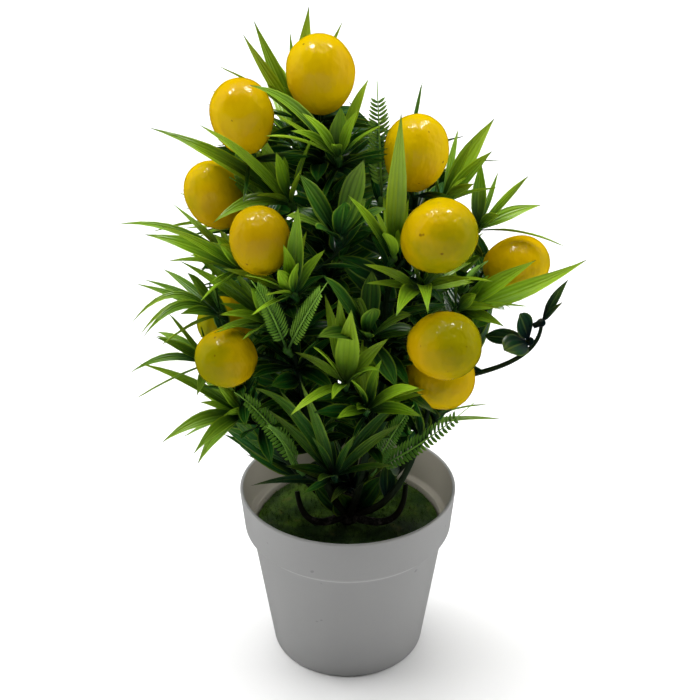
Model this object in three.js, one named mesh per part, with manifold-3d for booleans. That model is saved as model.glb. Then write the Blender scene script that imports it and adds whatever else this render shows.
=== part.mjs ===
// A potted artificial lemon tree: a moulded plastic pot, a cast filler that weighs it down, a mat of moss,
// a moulded stem with its limbs and twigs, sprays of strap leaves, rounded leaves and fern fronds that are
// pushed on to the twigs by their collars, and glossy lemons on the twig ends.
// Millimetres, +Z up, the origin at the middle of the pot's underside, and the front of the tree towards -Y.
import * as THREE from "three";
import { mergeVertices } from "three/addons/utils/BufferGeometryUtils.js";
import Module from "manifold-3d";

const wasm = await Module();
wasm.setup();

// Driving dimensions.
const GAP = 0.3; // clearance between two pieces that touch
const TOLERANCE = 0.04; // features smaller than this are merged where solids are joined or cut
const POT_SIDES = 32;
const POT_HEIGHT = 106;
const RIM_RADIUS = 62.5;
const COLLAR_HEIGHT = 25;
const COLLAR_FOOT_RADIUS = 60.3;
const SHOULDER_HEIGHT = 3.5; // the slope under the collar
const BODY_TOP_RADIUS = 56.2;
const BASE_RADIUS = 46;
const WALL = 2;
const FLOOR_THICKNESS = 2.6;
const LEDGE_HEIGHT = POT_HEIGHT - COLLAR_HEIGHT + 1.6; // the step inside, behind the collar's foot
const FILLER_TOP = 76;
const MOSS_TOP = 80.5;
const MOSS_RELIEF = 0.9;
const MOSS_RINGS = 4;
const MOSS_SIDES = 24;
const STEM_FOOT = 42; // how deep the stem stands in the filler
const KNOB_TOP = 96;
const LIMB_RADIUS = { start: 2.4, end: 1.5 };
const PRONG_RADIUS = { start: 2.4, end: 0.9 };
const TWIG_RADIUS = { start: 1.3, end: 1.2 };
const PEG = 3; // how deep a twig's end stands in its lemon
const COLLAR_RADIUS = 4.6; // of the knob that a spray's leaves grow from

const point = (x, y, z) => new THREE.Vector3(x, y, z);
const UP = point(0, 0, 1);
const FRONT_UP = point(0, -0.6, 0.8); // the way that the broad face of a shown leaf looks
const TO_EYE = point(0, -0.9, 0.435); // from the tree to the eye of someone who stands before it

// The colours and finishes of the materials.
const FINISHES = {
  pot: { color: 0xb9b9b7, roughness: 0.5 },
  filler: { color: 0x8f8b84, roughness: 0.95 },
  moss: { color: 0x2f4a12, roughness: 1 },
  stem: { color: 0x10200f, roughness: 0.55 },
  lemon: { color: 0xe8b400, roughness: 0.22 },
  bright: { color: 0x5a9a1c, roughness: 0.45 },
  deep: { color: 0x1f5a1e, roughness: 0.45 },
  fern: { color: 0x2b5f26, roughness: 0.5 },
  dusk: { color: 0x1d3f2e, roughness: 0.5 },
};

// The stem's limbs: each rises from the knob, or from a stated point, over via and ends at to.
const LIMBS = [
  { via: [-8, 0, 210], to: [-14, -2, 316] },
  { via: [-34, -6, 190], to: [-50, -14, 300] },
  { via: [-46, -22, 140], to: [-66, -22, 200] },
  { via: [30, -6, 190], to: [34, -16, 284] },
  { via: [52, -16, 140], to: [74, -16, 230] },
  { via: [10, -46, 130], to: [20, -44, 246] },
  { via: [-18, -46, 130], to: [-32, -40, 250] },
  { via: [30, -40, 110], to: [42, -40, 176] },
  { via: [0, 40, 150], to: [4, 54, 250] },
  { via: [-35, 32, 150], to: [-44, 36, 276] },
  { via: [36, 32, 150], to: [44, 38, 268] },
  { from: [59, -15, 182], via: [102, -29, 198], to: [99, -30, 222], radius: { start: 1.6, end: 1 } },
];

// The bare prongs that curl up from the knob.
const PRONGS = [
  { from: [4, -6, 86], via: [32, -20, 82], to: [33, -12, 112] },
  { from: [-4, -6, 86], via: [-26, -20, 83], to: [-29, -10, 106] },
  { from: [0, 5, 86], via: [6, 32, 84], to: [10, 36, 106] },
];

// Each lemon: its middle, the way its blossom end points, its diameter and its length.
const LEMONS = [
  { at: [-13, -8, 342], points: [-0.05, -0.1, 1], wide: 33.5, long: 39 },
  { at: [-50, -22, 325], points: [-0.15, -0.1, 1], wide: 30.5, long: 37 },
  { at: [-66, -16, 284], points: [-0.35, -0.1, 0.95], wide: 29, long: 36 },
  { at: [-41, -52, 273], points: [-0.05, -0.35, 0.95], wide: 29, long: 36 },
  { at: [-59, -58, 215], points: [-0.35, -0.75, 0.25], wide: 29.5, long: 34 },
  { at: [-66, 2, 206], points: [-0.9, -0.1, 0.4], wide: 28.5, long: 32 },
  { at: [33, -25, 308], points: [0.1, -0.15, 1], wide: 31.5, long: 38.5 },
  { at: [42, -62, 279], points: [0.6, -0.5, 0.62], wide: 34, long: 39 },
  { at: [87, -12, 246], points: [0.9, -0.25, 0.3], wide: 28.5, long: 35 },
  { at: [45, -78, 231], points: [0.75, -0.6, 0.2], wide: 32.5, long: 36.5 },
  { at: [47, -44, 198], points: [0.65, -0.5, -0.4], wide: 33, long: 37 },
  { at: [-55, 42, 309], points: [-0.3, 0.4, 0.9], wide: 30, long: 36 },
  { at: [38, 50, 287], points: [0.3, 0.5, 0.85], wide: 31, long: 37 },
  { at: [-73, 44, 264], points: [-0.6, 0.5, 0.5], wide: 28, long: 34 },
  { at: [95, 46, 224], points: [0.8, 0.5, 0.3], wide: 29, long: 34 },
  { at: [-51, 78, 225], points: [-0.2, 0.8, 0.5], wide: 29, long: 34 },
];

// The leaf shapes: share of the full width along the length, and how far the two halves fold up.
const SHAPES = {
  strap: { stations: [[0, 0.22], [0.24, 0.86], [0.5, 0.94], [0.76, 0.5]], fold: 0.3, wide: 3.6 },
  fan: { stations: [[0, 0.2], [0.3, 0.96], [0.64, 0.72]], fold: 0.3, wide: 3.1 },
  oval: { stations: [[0, 0.16], [0.28, 0.84], [0.68, 0.94]], fold: 0.22, wide: 4.6 },
  round: { stations: [[0, 0.14], [0.3, 0.86], [0.6, 1], [0.86, 0.66]], fold: 0.12, wide: 7 },
};
const ROOT = 2; // from the middle of the collar to a leaf's root
const KEEL = 0.45; // how far a leaf's rib stands out below

// The sprays: where the collar sits, then each shown leaf by its tip, with its arch as a share of its length
// and its width as a share of its shape's. more leaves fan out round the collar by the rule below, and are
// about reach mm long.
const SPRAYS = [
  { name: "crown", finish: "bright", at: [-25, 3, 318], more: 4, reach: 46,
    tips: [[-50, -5, 361, -0.06], [-46, 5, 368, -0.05], [-19, 15, 373, 0, 1.3], [-2, 15, 366, 0, 0.7],
      [-29, 20, 360, 0, 0.6]] },
  { name: "shoulder", finish: "bright", at: [-4, -26, 306], more: 4, reach: 44,
    tips: [[-45, -40, 344, 0.24], [-21, -46, 333, 0.1, 1.2], [-26, -42, 322, 0.15], [5, -40, 333, 0.08],
      [-3, -32, 334, 0.05, 1.5]] },
  { name: "upper_left", finish: "bright", at: [-28, -22, 282], more: 4, reach: 46,
    tips: [[-94, -30, 322, 0.12, 1.05], [-67, -52, 329, 0.1], [-64, -46, 280, 0.26, 1.2], [-82, 0, 304, 0.05],
      [-21, -50, 308, 0.04, 0.8]] },
  { name: "mid_left", finish: "bright", at: [-50, -34, 250], more: 4, reach: 43,
    tips: [[-115, -25, 272, 0.26, 0.7], [-98, -42, 273, 0.12, 1.3], [-88, -52, 281, 0.08, 0.8],
      [-90, -15, 282, 0.04, 0.6]] },
  { name: "inner_left", finish: "bright", at: [-38, -42, 226], more: 4, reach: 42,
    tips: [[-81, -48, 262, 0.08, 0.8], [-79, -32, 262, 0.06, 0.7], [-60, -72, 244, 0.1]] },
  { name: "far_left", finish: "deep", at: [-66, -20, 221], more: 4, reach: 42,
    tips: [[-107, -8, 236, 0.1, 0.6], [-112, -26, 218, 0.6, 0.6], [-106, -36, 216, 0.56, 0.6],
      [-102, -46, 220, 0.5, 0.75], [-83, -38, 229, 0.1, 1.1]] },
  { name: "low_left", finish: "deep", at: [-72, -28, 197], more: 4, reach: 40,
    tips: [[-102, -15, 207, 0.1, 0.7], [-114, -30, 192, 0.3, 0.7], [-96, -45, 220, 0.05, 0.8],
      [-78, -40, 184, 0.1, 0.8]] },
  { name: "skirt_left", finish: "bright", at: [-56, -24, 164], more: 4, reach: 38,
    tips: [[-98, -42, 157, 0.24, 1.2], [-80, -52, 156, 0.22, 1.1], [-82, -30, 136, 0.3, 1.2],
      [-107, -40, 203, 0.12, 0.8]] },
  { name: "front_low", finish: "deep", at: [-7, -38, 134], more: 2, reach: 46,
    tips: [[-34, -62, 200, 0.04], [-41, -68, 192, 0.06, 0.9], [-45, -82, 211, 0.22, 1.1],
      [-23, -66, 207, 0.02, 0.9], [29, -56, 192, 0.1], [28, -66, 183, 0.08, 0.9],
      [4, -66, 176, 0.04, 0.9], [-18, -62, 173, 0.04, 0.7]] },
  { name: "centre", finish: "bright", at: [-1, -58, 200], more: 4, reach: 44,
    tips: [[-4, -68, 253, 0.03, 1.1], [2, -74, 248, 0.03, 1.7], [20, -82, 237, 0.08, 1.1]] },
  { name: "right_low", finish: "bright", at: [10, -58, 186], more: 4, reach: 42,
    tips: [[33, -98, 219, 0.1, 1.4], [36, -84, 196, 0.12, 1.1], [16, -84, 227, 0.08]] },
  { name: "under_lemon", finish: "bright", at: [36, -46, 246], more: 5, reach: 42,
    tips: [[7, -68, 268, 0.06, 0.9], [8, -76, 262, 0.06, 0.7], [22, -88, 250, 0.24, 1.3],
      [36, -94, 254, 0.3], [56, -74, 263, 0.08, 0.9]] },
  { name: "right_reach", finish: "bright", at: [56, -26, 226], more: 4, reach: 44,
    tips: [[92, -42, 260, 0.02, 1.4], [118, -32, 256, -0.1, 1.5], [78, -46, 226, 0.1]] },
  { name: "right_rise", finish: "bright", at: [66, -10, 264], more: 4, reach: 44,
    tips: [[98, -12, 278, 0.1, 1.1], [67, -4, 299, 0.04, 1.1]] },
  { name: "upper_right", finish: "bright", at: [48, -4, 276], more: 4, reach: 44,
    tips: [[74, 5, 318, 0.08, 1.4], [62, -8, 310, 0.04, 0.8], [58, -26, 297, 0.1, 0.7]] },
  { name: "tall_front", finish: "bright", at: [22, -46, 262], more: 3, reach: 40,
    tips: [[24, -58, 336, 0, 1.35], [17, -82, 289, 0.12, 1.2], [0, -70, 302, 0.08]] },
  { name: "centre_left", finish: "bright", at: [-26, -52, 246], more: 4, reach: 42,
    tips: [[-22, -68, 296, 0.04, 1.2], [-29, -78, 282, 0.06, 1.1], [-10, -74, 278, 0.06, 1.1]] },
  { name: "ovals_upper", finish: "deep", shape: "oval", at: [-4, -46, 272], more: 6, reach: 34,
    tips: [[-1, -74, 300, 0.08], [-14, -76, 288, 0.1], [-22, -58, 308, 0.06], [8, -48, 312, 0.06, 1.2]] },
  { name: "ovals_lower", finish: "deep", shape: "oval", at: [10, -52, 222], more: 6, reach: 34,
    tips: [[-11, -78, 266, 0.08], [12, -82, 252, 0.1], [-14, -84, 238, 0.12], [24, -86, 212, 0.12]] },
  { name: "foot", finish: "dusk", at: [2, -14, 112], more: 4, reach: 44,
    tips: [[-54, -26, 120, 0.16, 0.8], [-34, -40, 142, 0.05], [30, -34, 150, 0.04, 1.5],
      [16, -36, 138, 0.02, 1.7]] },
  { name: "outrider_low", finish: "dusk", shape: "round", at: [94, -29, 210], more: 0, reach: 24,
    tips: [[79, -42, 211, 0.04], [87, -34, 228, 0.04, 0.8], [72, -18, 208, 0.06, 0.7]] },
  { name: "outrider_tip", finish: "dusk", at: [99, -30, 221], more: 0, reach: 30,
    tips: [[111, -30, 245, 0.12, 0.7], [107, -40, 237, 0.04, 0.5]] },
];

// The fern sprays, in the same words: each tip is a frond's.
const FERNS = [
  { name: "fern_right_top", at: [17, -24, 284], tips: [[14, -22, 342, 0.02]] },
  { name: "fern_left_mid", at: [-30, -48, 214], tips: [[-44, -74, 262, 0.12], [-9, -76, 262, 0.05]] },
  { name: "fern_right_low", at: [14, -28, 132], tips: [[63, -48, 185, -0.08], [33, -64, 192, 0.06]] },
  { name: "fern_left_low", at: [-26, -28, 132], tips: [[-56, -62, 198, 0.14], [-40, -72, 184, 0.12]] },
  { name: "fern_left_top", at: [-38, -10, 272], tips: [[-57, -40, 303, 0.12]] },
  { name: "fern_right_mid", at: [60, -20, 236], tips: [[66, -50, 262, 0.1], [84, -22, 226, 0.05]] },
];
const FROND_PAIRS = 7;
const FROND_HALF_WIDTH = 6.5;
const FROND_THICKNESS = 0.8;
const FROND_RIB = 0.75;
const FROND_BARE = { foot: 0.1, tail: 0.84 }; // the leaflets stand between these shares of the length

// The sprays at the back, set out by a rule: up the crown in steps, and round it by a fixed turn.
const BACK_SPRAYS = { count: 12, low: 138, high: 300, first: 18, turn: 97, span: 156, leaves: 5, reach: 52 };
const CROWN_RADII = [[130, 30], [190, 56], [235, 60], [280, 46], [320, 22]]; // of the collars, by height
const BACK_FINISHES = ["bright", "deep", "bright"];

// ---- Solids ----

function solidFrom(vertices, faces) {
  const vertProperties = new Float32Array(vertices.flatMap((v) => [v.x, v.y, v.z]));
  const triVerts = new Uint32Array(faces.flat());
  return new wasm.Manifold(new wasm.Mesh({ numProp: 3, vertProperties, triVerts, tolerance: TOLERANCE }));
}

function solidOf(geometry) {
  const bare = geometry.clone();
  bare.deleteAttribute("normal");
  bare.deleteAttribute("uv");
  const merged = mergeVertices(bare, 1e-4);
  const corners = merged.attributes.position;
  const vertices = Array.from({ length: corners.count }, (_, i) => point().fromBufferAttribute(corners, i));
  const faces = [];
  for (let i = 0; i < merged.index.count; i += 3) {
    const [a, b, c] = [0, 1, 2].map((k) => merged.index.getX(i + k));
    if (a !== b && b !== c && c !== a) faces.push([a, b, c]);
  }
  return solidFrom(vertices, faces);
}

function geometryOf(solid) {
  const { numProp, numVert, vertProperties, triVerts } = solid.getMesh();
  const positions = new Float32Array(numVert * 3);
  for (let i = 0; i < numVert; i++) {
    positions.set(vertProperties.subarray(i * numProp, i * numProp + 3), i * 3);
  }
  const geometry = new THREE.BufferGeometry();
  geometry.setAttribute("position", new THREE.BufferAttribute(positions, 3));
  geometry.setIndex(new THREE.BufferAttribute(triVerts, 1));
  geometry.computeVertexNormals();
  return geometry;
}

// A solid of revolution round +Z. The profile runs up the outside from the axis and comes back to it.
function turned(profile, sides) {
  const lathe = new THREE.LatheGeometry(profile.map(([r, z]) => new THREE.Vector2(r, z)), sides);
  return solidOf(lathe.rotateX(Math.PI / 2));
}

function largestBody(solid) {
  return solid.decompose().reduce((best, body) => (body.volume() > best.volume() ? body : best));
}

const joined = (solids) => wasm.Manifold.union(solids);

function boxesMeet(a, b) {
  const [p, q] = [a.boundingBox(), b.boundingBox()];
  return [0, 1, 2].every((k) => p.min[k] <= q.max[k] && q.min[k] <= p.max[k]);
}

const cross = (a, b) => boxesMeet(a, b) && !a.intersect(b).isEmpty();

function cutClear(solid, cutters) {
  const near = cutters.filter((cutter) => cross(solid, cutter));
  return near.length ? largestBody(solid.subtract(joined(near))) : solid;
}

// ---- Curves ----

const arc = (from, via, to) => new THREE.QuadraticBezierCurve3(from, via, to);
const vector = ([x, y, z]) => point(x, y, z);
const along = (start, direction, distance) => start.clone().addScaledVector(direction, distance);

// A round tapering tube along a curve, closed at both ends. grow makes it thicker on its flats, and longer.
function tube(curve, radius, sides, steps, grow = 0) {
  const frames = curve.computeFrenetFrames(steps);
  const vertices = [];
  const faces = [];
  for (let i = 0; i <= steps; i++) {
    const middle = along(curve.getPoint(i / steps), frames.tangents[i], i < steps ? 0 : grow);
    const r = THREE.MathUtils.lerp(radius.start, radius.end, i / steps) + grow / Math.cos(Math.PI / sides);
    for (let j = 0; j < sides; j++) {
      const angle = (2 * Math.PI * j) / sides;
      const corner = along(middle, frames.normals[i], r * Math.cos(angle));
      vertices.push(along(corner, frames.binormals[i], r * Math.sin(angle)));
    }
  }
  for (let i = 0; i < steps; i++) {
    for (let j = 0; j < sides; j++) {
      const [a, b] = [i * sides + j, i * sides + ((j + 1) % sides)];
      faces.push([a, b, b + sides], [a, b + sides, a + sides]);
    }
  }
  const last = steps * sides;
  for (let j = 1; j < sides - 1; j++) {
    faces.push([0, j + 1, j], [last, last + j, last + j + 1]);
  }
  return solidFrom(vertices, faces);
}

// ---- Pot, filler and moss ----

// The inner wall's radius at a height below the ledge.
function innerRadius(z) {
  const share = z / (POT_HEIGHT - COLLAR_HEIGHT - SHOULDER_HEIGHT);
  return THREE.MathUtils.lerp(BASE_RADIUS, BODY_TOP_RADIUS, share) - WALL;
}

function makePot() {
  const lip = 1.2;
  const foot = 1.8;
  const collarFoot = POT_HEIGHT - COLLAR_HEIGHT;
  return turned(
    [
      [0, 0],
      [BASE_RADIUS - foot, 0],
      [BASE_RADIUS, foot],
      [BODY_TOP_RADIUS, collarFoot - SHOULDER_HEIGHT],
      [COLLAR_FOOT_RADIUS, collarFoot],
      [RIM_RADIUS, POT_HEIGHT - lip],
      [RIM_RADIUS - lip / 2, POT_HEIGHT],
      [RIM_RADIUS - WALL, POT_HEIGHT],
      [COLLAR_FOOT_RADIUS - WALL, LEDGE_HEIGHT + 1],
      [BODY_TOP_RADIUS - WALL + 0.4, LEDGE_HEIGHT],
      [innerRadius(collarFoot - SHOULDER_HEIGHT), collarFoot - SHOULDER_HEIGHT],
      [innerRadius(FLOOR_THICKNESS), FLOOR_THICKNESS],
      [0, FLOOR_THICKNESS],
    ],
    POT_SIDES,
  );
}

function makeFiller(stemCutter) {
  const low = FLOOR_THICKNESS + GAP;
  const high = FILLER_TOP;
  const block = turned(
    [
      [0, low],
      [innerRadius(low) - GAP, low],
      [innerRadius(high) - GAP, high],
      [0, high],
    ],
    POT_SIDES,
  );
  return block.subtract(stemCutter);
}

// A disc whose top is raised into small cushions by a formula.
function makeMoss(stemCutter) {
  const low = FILLER_TOP + GAP;
  const edge = innerRadius(FILLER_TOP) - 2 * GAP;
  const vertices = [point(0, 0, low), point(0, 0, MOSS_TOP)];
  const faces = [];
  const at = (ring, j) => 2 + ring * MOSS_SIDES + (j % MOSS_SIDES);
  for (let ring = 0; ring <= MOSS_RINGS; ring++) {
    const bottom = ring === MOSS_RINGS;
    const r = bottom ? edge : (edge * (ring + 1)) / MOSS_RINGS;
    for (let j = 0; j < MOSS_SIDES; j++) {
      const angle = (2 * Math.PI * j) / MOSS_SIDES;
      const cushion = Math.sin(5 * angle + 2.1 * ring) * Math.cos(3 * angle - 1.7 * ring);
      const top = MOSS_TOP - 0.6 * (r / edge) ** 6 + MOSS_RELIEF * cushion;
      vertices.push(point(r * Math.cos(angle), r * Math.sin(angle), bottom ? low : top));
    }
  }
  for (let j = 0; j < MOSS_SIDES; j++) {
    faces.push([1, at(0, j), at(0, j + 1)], [0, at(MOSS_RINGS, j + 1), at(MOSS_RINGS, j)]);
    for (let ring = 0; ring < MOSS_RINGS; ring++) {
      const [a, b, c, d] = [at(ring, j), at(ring + 1, j), at(ring + 1, j + 1), at(ring, j + 1)];
      faces.push([a, b, c], [a, c, d]);
    }
  }
  return solidFrom(vertices, faces).subtract(stemCutter);
}

// ---- Lemons ----

// The radius of a lemon at a share of its length, from 0 at the stalk to 1 at the blossom end.
const eggRadius = (share) => Math.sqrt(Math.max(0, 4 * share * (1 - share))) * (0.93 + 0.14 * share);

function makeLemon({ at, points, wide, long }, grow = 0) {
  const rows = 6;
  const profile = Array.from({ length: rows + 2 }, (_, i) => {
    const share = (1 - Math.cos((Math.PI * i) / (rows + 1))) / 2;
    return [(wide / 2 + grow) * eggRadius(share), (long + 2 * grow) * (share - 0.5)];
  });
  profile[0][0] = 0;
  profile[rows + 1][0] = 0;
  const turn = new THREE.Quaternion().setFromUnitVectors(UP, vector(points).normalize());
  const place = new THREE.Matrix4().compose(vector(at), turn, point(1, 1, 1));
  return turned(profile, 10).transform(place.toArray());
}

const stalkEnd = ({ at, points, long }) => along(vector(at), vector(points).normalize(), -long / 2);

// ---- Stem ----

// A limb with no stated start leaves the knob's side on its own side of the axis.
function limbCurve({ from, via, to }) {
  const side = point(via[0], via[1], 0).normalize();
  const start = from ? vector(from) : along(point(0, 0, KNOB_TOP - 9), side, 4.5);
  return arc(start, vector(via), vector(to));
}

// The spots on the limbs that twigs can leave from.
function limbSpots() {
  return LIMBS.flatMap((limb) => {
    const curve = limbCurve(limb);
    return Array.from({ length: 32 }, (_, i) => curve.getPoint(0.22 + 0.025 * i));
  });
}

// Gives each place the spot on the limbs from which its twig is shortest. A spot below its place is preferred
// to one above it, and one near another twig's is left.
function twigCurves(ends) {
  const spots = limbSpots();
  return ends.map(({ place, heading, past }) => {
    const cost = (spot) => spot.distanceTo(place) + 0.6 * Math.max(0, spot.z - place.z + 10);
    const start = spots.reduce((best, spot) => (cost(spot) < cost(best) ? spot : best));
    spots.splice(0, spots.length, ...spots.filter((spot) => spot.distanceTo(start) > 3 * TWIG_RADIUS.start));
    return arc(start, along(place, heading, -0.45 * start.distanceTo(place)), along(place, heading, past));
  });
}

// The stem with its knob, limbs, prongs and twigs in one body. grow makes it larger, to cut clearance with.
function makeStem(twigs, grow = 0) {
  const knob = turned(
    [
      [0, STEM_FOOT - grow],
      [4.5 + grow, STEM_FOOT - grow],
      [5.5 + grow, MOSS_TOP - 1],
      [8 + grow, MOSS_TOP + 3.5],
      [5 + grow, KNOB_TOP + grow],
      [0, KNOB_TOP + grow],
    ],
    8,
  );
  return joined([
    knob,
    ...LIMBS.map((limb) => tube(limbCurve(limb), limb.radius ?? LIMB_RADIUS, 5, 4, grow)),
    ...PRONGS.map((prong) => tube(limbCurve(prong), PRONG_RADIUS, 4, 5, grow)),
    ...twigs.map((curve) => tube(curve, TWIG_RADIUS, 3, curve.getLength() < 24 ? 2 : 3, grow)),
  ]);
}

// ---- Leaves ----

// A strap, oval or round leaf: a thin arched blade whose halves fold up from a keel. grow makes it larger, to
// keep clearance with, and first is the station that it starts at, so 1 leaves out its root.
function blade(curve, face, shape, width, grow = 0, first = 0) {
  const half = shape.wide * width;
  const vertices = [];
  for (const [t, share] of shape.stations.slice(first)) {
    const middle = curve.getPoint(t);
    const forward = curve.getTangent(t);
    const side = forward.clone().cross(face).normalize();
    const up = side.clone().cross(forward);
    const w = half * share;
    const edge = along(middle, up, shape.fold * w + grow);
    vertices.push(along(edge, side, -w - 4 * grow), along(edge, side, w + 4 * grow));
    vertices.push(along(middle, up, -KEEL - 1.2 * grow));
  }
  const faces = [[0, 2, 1]];
  const last = vertices.length - 3;
  for (let i = 0; i < last; i += 3) {
    const [left, right, keel] = [i, i + 1, i + 2];
    faces.push([left, right, right + 3], [left, right + 3, left + 3]);
    faces.push([left, keel + 3, keel], [left, left + 3, keel + 3]);
    faces.push([keel, keel + 3, right], [right, keel + 3, right + 3]);
  }
  vertices.push(along(curve.getPoint(1), curve.getTangent(1), grow));
  const tip = last + 3;
  faces.push([last, last + 1, tip], [last, tip, last + 2], [last + 2, tip, last + 1]);
  return solidFrom(vertices, faces);
}

// How long the leaflets are at a share of a frond's length, as a share of the longest.
const leafletLength = (t) => Math.sin(Math.PI * (0.2 + 0.68 * t)) ** 0.8;

// A fern frond: one thin arched blade cut to its rib into pairs of pointed leaflets.
function frond(curve, face) {
  const vertices = [];
  const faces = [];
  const pitch = (FROND_BARE.tail - FROND_BARE.foot) / FROND_PAIRS;
  const frame = (t) => {
    const forward = curve.getTangent(t);
    const side = forward.clone().cross(face).normalize();
    return { middle: curve.getPoint(t), forward, side, up: side.clone().cross(forward) };
  };
  // Four corners round the rib: left over, left under, right over, right under.
  const ring = (t) => {
    const { middle, side, up } = frame(t);
    const rib = FROND_RIB * (1 - 0.5 * t);
    for (const [across, over] of [[-1, 1], [-1, -1], [1, 1], [1, -1]]) {
      vertices.push(along(along(middle, side, across * rib), up, (over * FROND_THICKNESS) / 2));
    }
    return vertices.length - 4;
  };
  const leaflet = (a, b, t, across) => {
    const { middle, side, forward, up } = frame(t);
    const reach = FROND_HALF_WIDTH * leafletLength(t);
    const out = along(along(middle, side, across * reach), forward, 0.5 * reach);
    vertices.push(along(out, up, 0.1 * reach));
    const end = vertices.length - 1;
    const [a0, a1, b0, b1] = across < 0 ? [a, a + 1, b, b + 1] : [a + 3, a + 2, b + 3, b + 2];
    faces.push([a0, b0, end], [a1, end, b1], [a1, a0, end], [b0, b1, end]);
  };
  let last = ring(0);
  faces.push([last, last + 1, last + 2], [last + 1, last + 3, last + 2]);
  const bridge = (a, b, open) => {
    faces.push([a, a + 2, b], [a + 2, b + 2, b], [a + 1, b + 1, a + 3], [a + 3, b + 1, b + 3]);
    if (!open) faces.push([a, b, a + 1], [b, b + 1, a + 1], [a + 2, a + 3, b + 2], [a + 3, b + 3, b + 2]);
  };
  for (let i = 0; i < FROND_PAIRS; i++) {
    const t = FROND_BARE.foot + pitch * i;
    const start = ring(t);
    const stop = ring(t + 0.6 * pitch);
    bridge(last, start, false);
    bridge(start, stop, true);
    leaflet(start, stop, t + 0.3 * pitch, -1);
    leaflet(start, stop, t + 0.3 * pitch, 1);
    last = stop;
  }
  vertices.push(curve.getPoint(1));
  const tip = vertices.length - 1;
  faces.push([last, last + 2, tip], [last + 2, last + 3, tip]);
  faces.push([last + 3, last + 1, tip], [last + 1, last, tip]);
  return solidFrom(vertices, faces);
}

// A frond's outline as a plain blade, to keep other leaves out of it.
const FROND_OUTLINE = {
  stations: [[0, 0.2], [0.2, 0.9], [0.5, 1], [0.8, 0.5]],
  fold: 0.1,
  wide: FROND_HALF_WIDTH,
};

// ---- Sprays ----

// A repeatable series of numbers from 0 to 1.
function series(seed) {
  let state = (seed * 7919 + 104729) % 4294967296;
  return () => {
    state = (state * 1664525 + 1013904223) % 4294967296;
    return state / 4294967296;
  };
}

// A spray looks up, and outwards from the tree's middle: less so at the front and back, where the tree is
// flatter.
function headingAt(place) {
  return point(place.x / 60, place.y / 150, 0.9).normalize();
}

function backSprays() {
  const { count, low, high, first, turn, span, leaves, reach } = BACK_SPRAYS;
  return Array.from({ length: count }, (_, i) => {
    const z = THREE.MathUtils.lerp(low, high, i / (count - 1));
    const angle = THREE.MathUtils.degToRad(first - 6 + ((i * turn) % span));
    const k = CROWN_RADII.findIndex(([height]) => height > z);
    const [[z0, r0], [z1, r1]] = [CROWN_RADII[k - 1], CROWN_RADII[k]];
    const r = r0 + ((r1 - r0) * (z - z0)) / (z1 - z0);
    const at = [Math.round(r * Math.cos(angle)), Math.round(r * Math.sin(angle)), Math.round(z)];
    const finish = BACK_FINISHES[i % BACK_FINISHES.length];
    return { name: `back_${i + 1}`, finish, at, more: leaves, reach, tips: [] };
  });
}

// The knob that a spray's leaves grow from, with one corner on its twig.
function collar({ place, heading }, grow = 0) {
  const turn = new THREE.Quaternion().setFromUnitVectors(UP, heading);
  const knob = new THREE.OctahedronGeometry(COLLAR_RADIUS + 1.7 * grow).applyQuaternion(turn);
  return solidOf(knob.translate(...place));
}

// The curve of a shown leaf, from the collar to its tip, which may stand nearer to the eye than stated.
function shownCurve(place, [x, y, z, arch = 0.1], nearer) {
  const tip = along(point(x, y, z), TO_EYE, nearer);
  const chord = tip.clone().sub(place);
  const start = along(place, chord.clone().normalize(), ROOT);
  const via = place.clone().add(tip).multiplyScalar(0.5).add(point(0, 0, arch * chord.length()));
  return arc(start, via, tip);
}

// The curve of a leaf in the fan round a collar.
// The angle goes round the heading and the lean is away from it, both in degrees.
function fanCurve(place, heading, angle, lean, length, sag) {
  const start = heading.clone().cross(point(0.2, 1, 0.1)).normalize();
  const out = start.applyAxisAngle(heading, THREE.MathUtils.degToRad(angle));
  const tilt = THREE.MathUtils.degToRad(lean);
  const way = heading.clone().multiplyScalar(Math.cos(tilt)).add(out.multiplyScalar(Math.sin(tilt)));
  const tip = along(place, way, length).add(point(0, 0, -sag * length));
  return arc(along(place, way, ROOT), along(place, way, 0.55 * length), tip);
}

// Tries a leaf in each way that attempts gives, and keeps the first that crosses nothing: whole against other
// sprays' leaves, and without its root against the stem and the leaves that share its collar.
function settle(attempts, make, owner, taken) {
  return attempts.find((attempt) => {
    const whole = make(attempt, GAP);
    const outer = make(attempt, GAP, 1);
    return !taken.some((other) =>
      other.owner === owner || other.owner === "stem" ? cross(outer, other.outer) : cross(whole, other.whole),
    );
  });
}

const LEAN = { least: 14, most: 56 }; // degrees, of a fan's inner and outer leaves from its heading
const NEARER = [0, 7, -7, 14, -14, 21, 28]; // mm
const TURNS = [0, 16, -16, 32, -32]; // degrees
const SHORTER = [1, 0.75, 0.5];

function takeLeaf(make, found, owner, taken) {
  taken.push({ whole: make(found, 0), outer: make(found, 0, 1), owner });
}

function placeShown(spray, place, taken) {
  const shape = SHAPES[spray.shape ?? "strap"];
  return spray.tips.map((tip) => {
    const make = (nearer, grow, first) =>
      blade(shownCurve(place, tip, nearer), FRONT_UP, shape, tip[4] ?? 1, grow, first);
    const nearer = settle(NEARER, make, spray.name, taken) ?? 0;
    takeLeaf(make, nearer, spray.name, taken);
    return { solid: make(nearer, 0), grown: make(nearer, GAP) };
  });
}

function placeFronds(spray, place, taken) {
  return spray.tips.map((tip) => {
    const make = (nearer, grow, first) =>
      blade(shownCurve(place, tip, nearer), FRONT_UP, FROND_OUTLINE, 1, grow, first);
    const nearer = settle(NEARER, make, spray.name, taken) ?? 0;
    takeLeaf(make, nearer, spray.name, taken);
    return { solid: frond(shownCurve(place, tip, nearer), FRONT_UP), grown: make(nearer, GAP) };
  });
}

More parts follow.
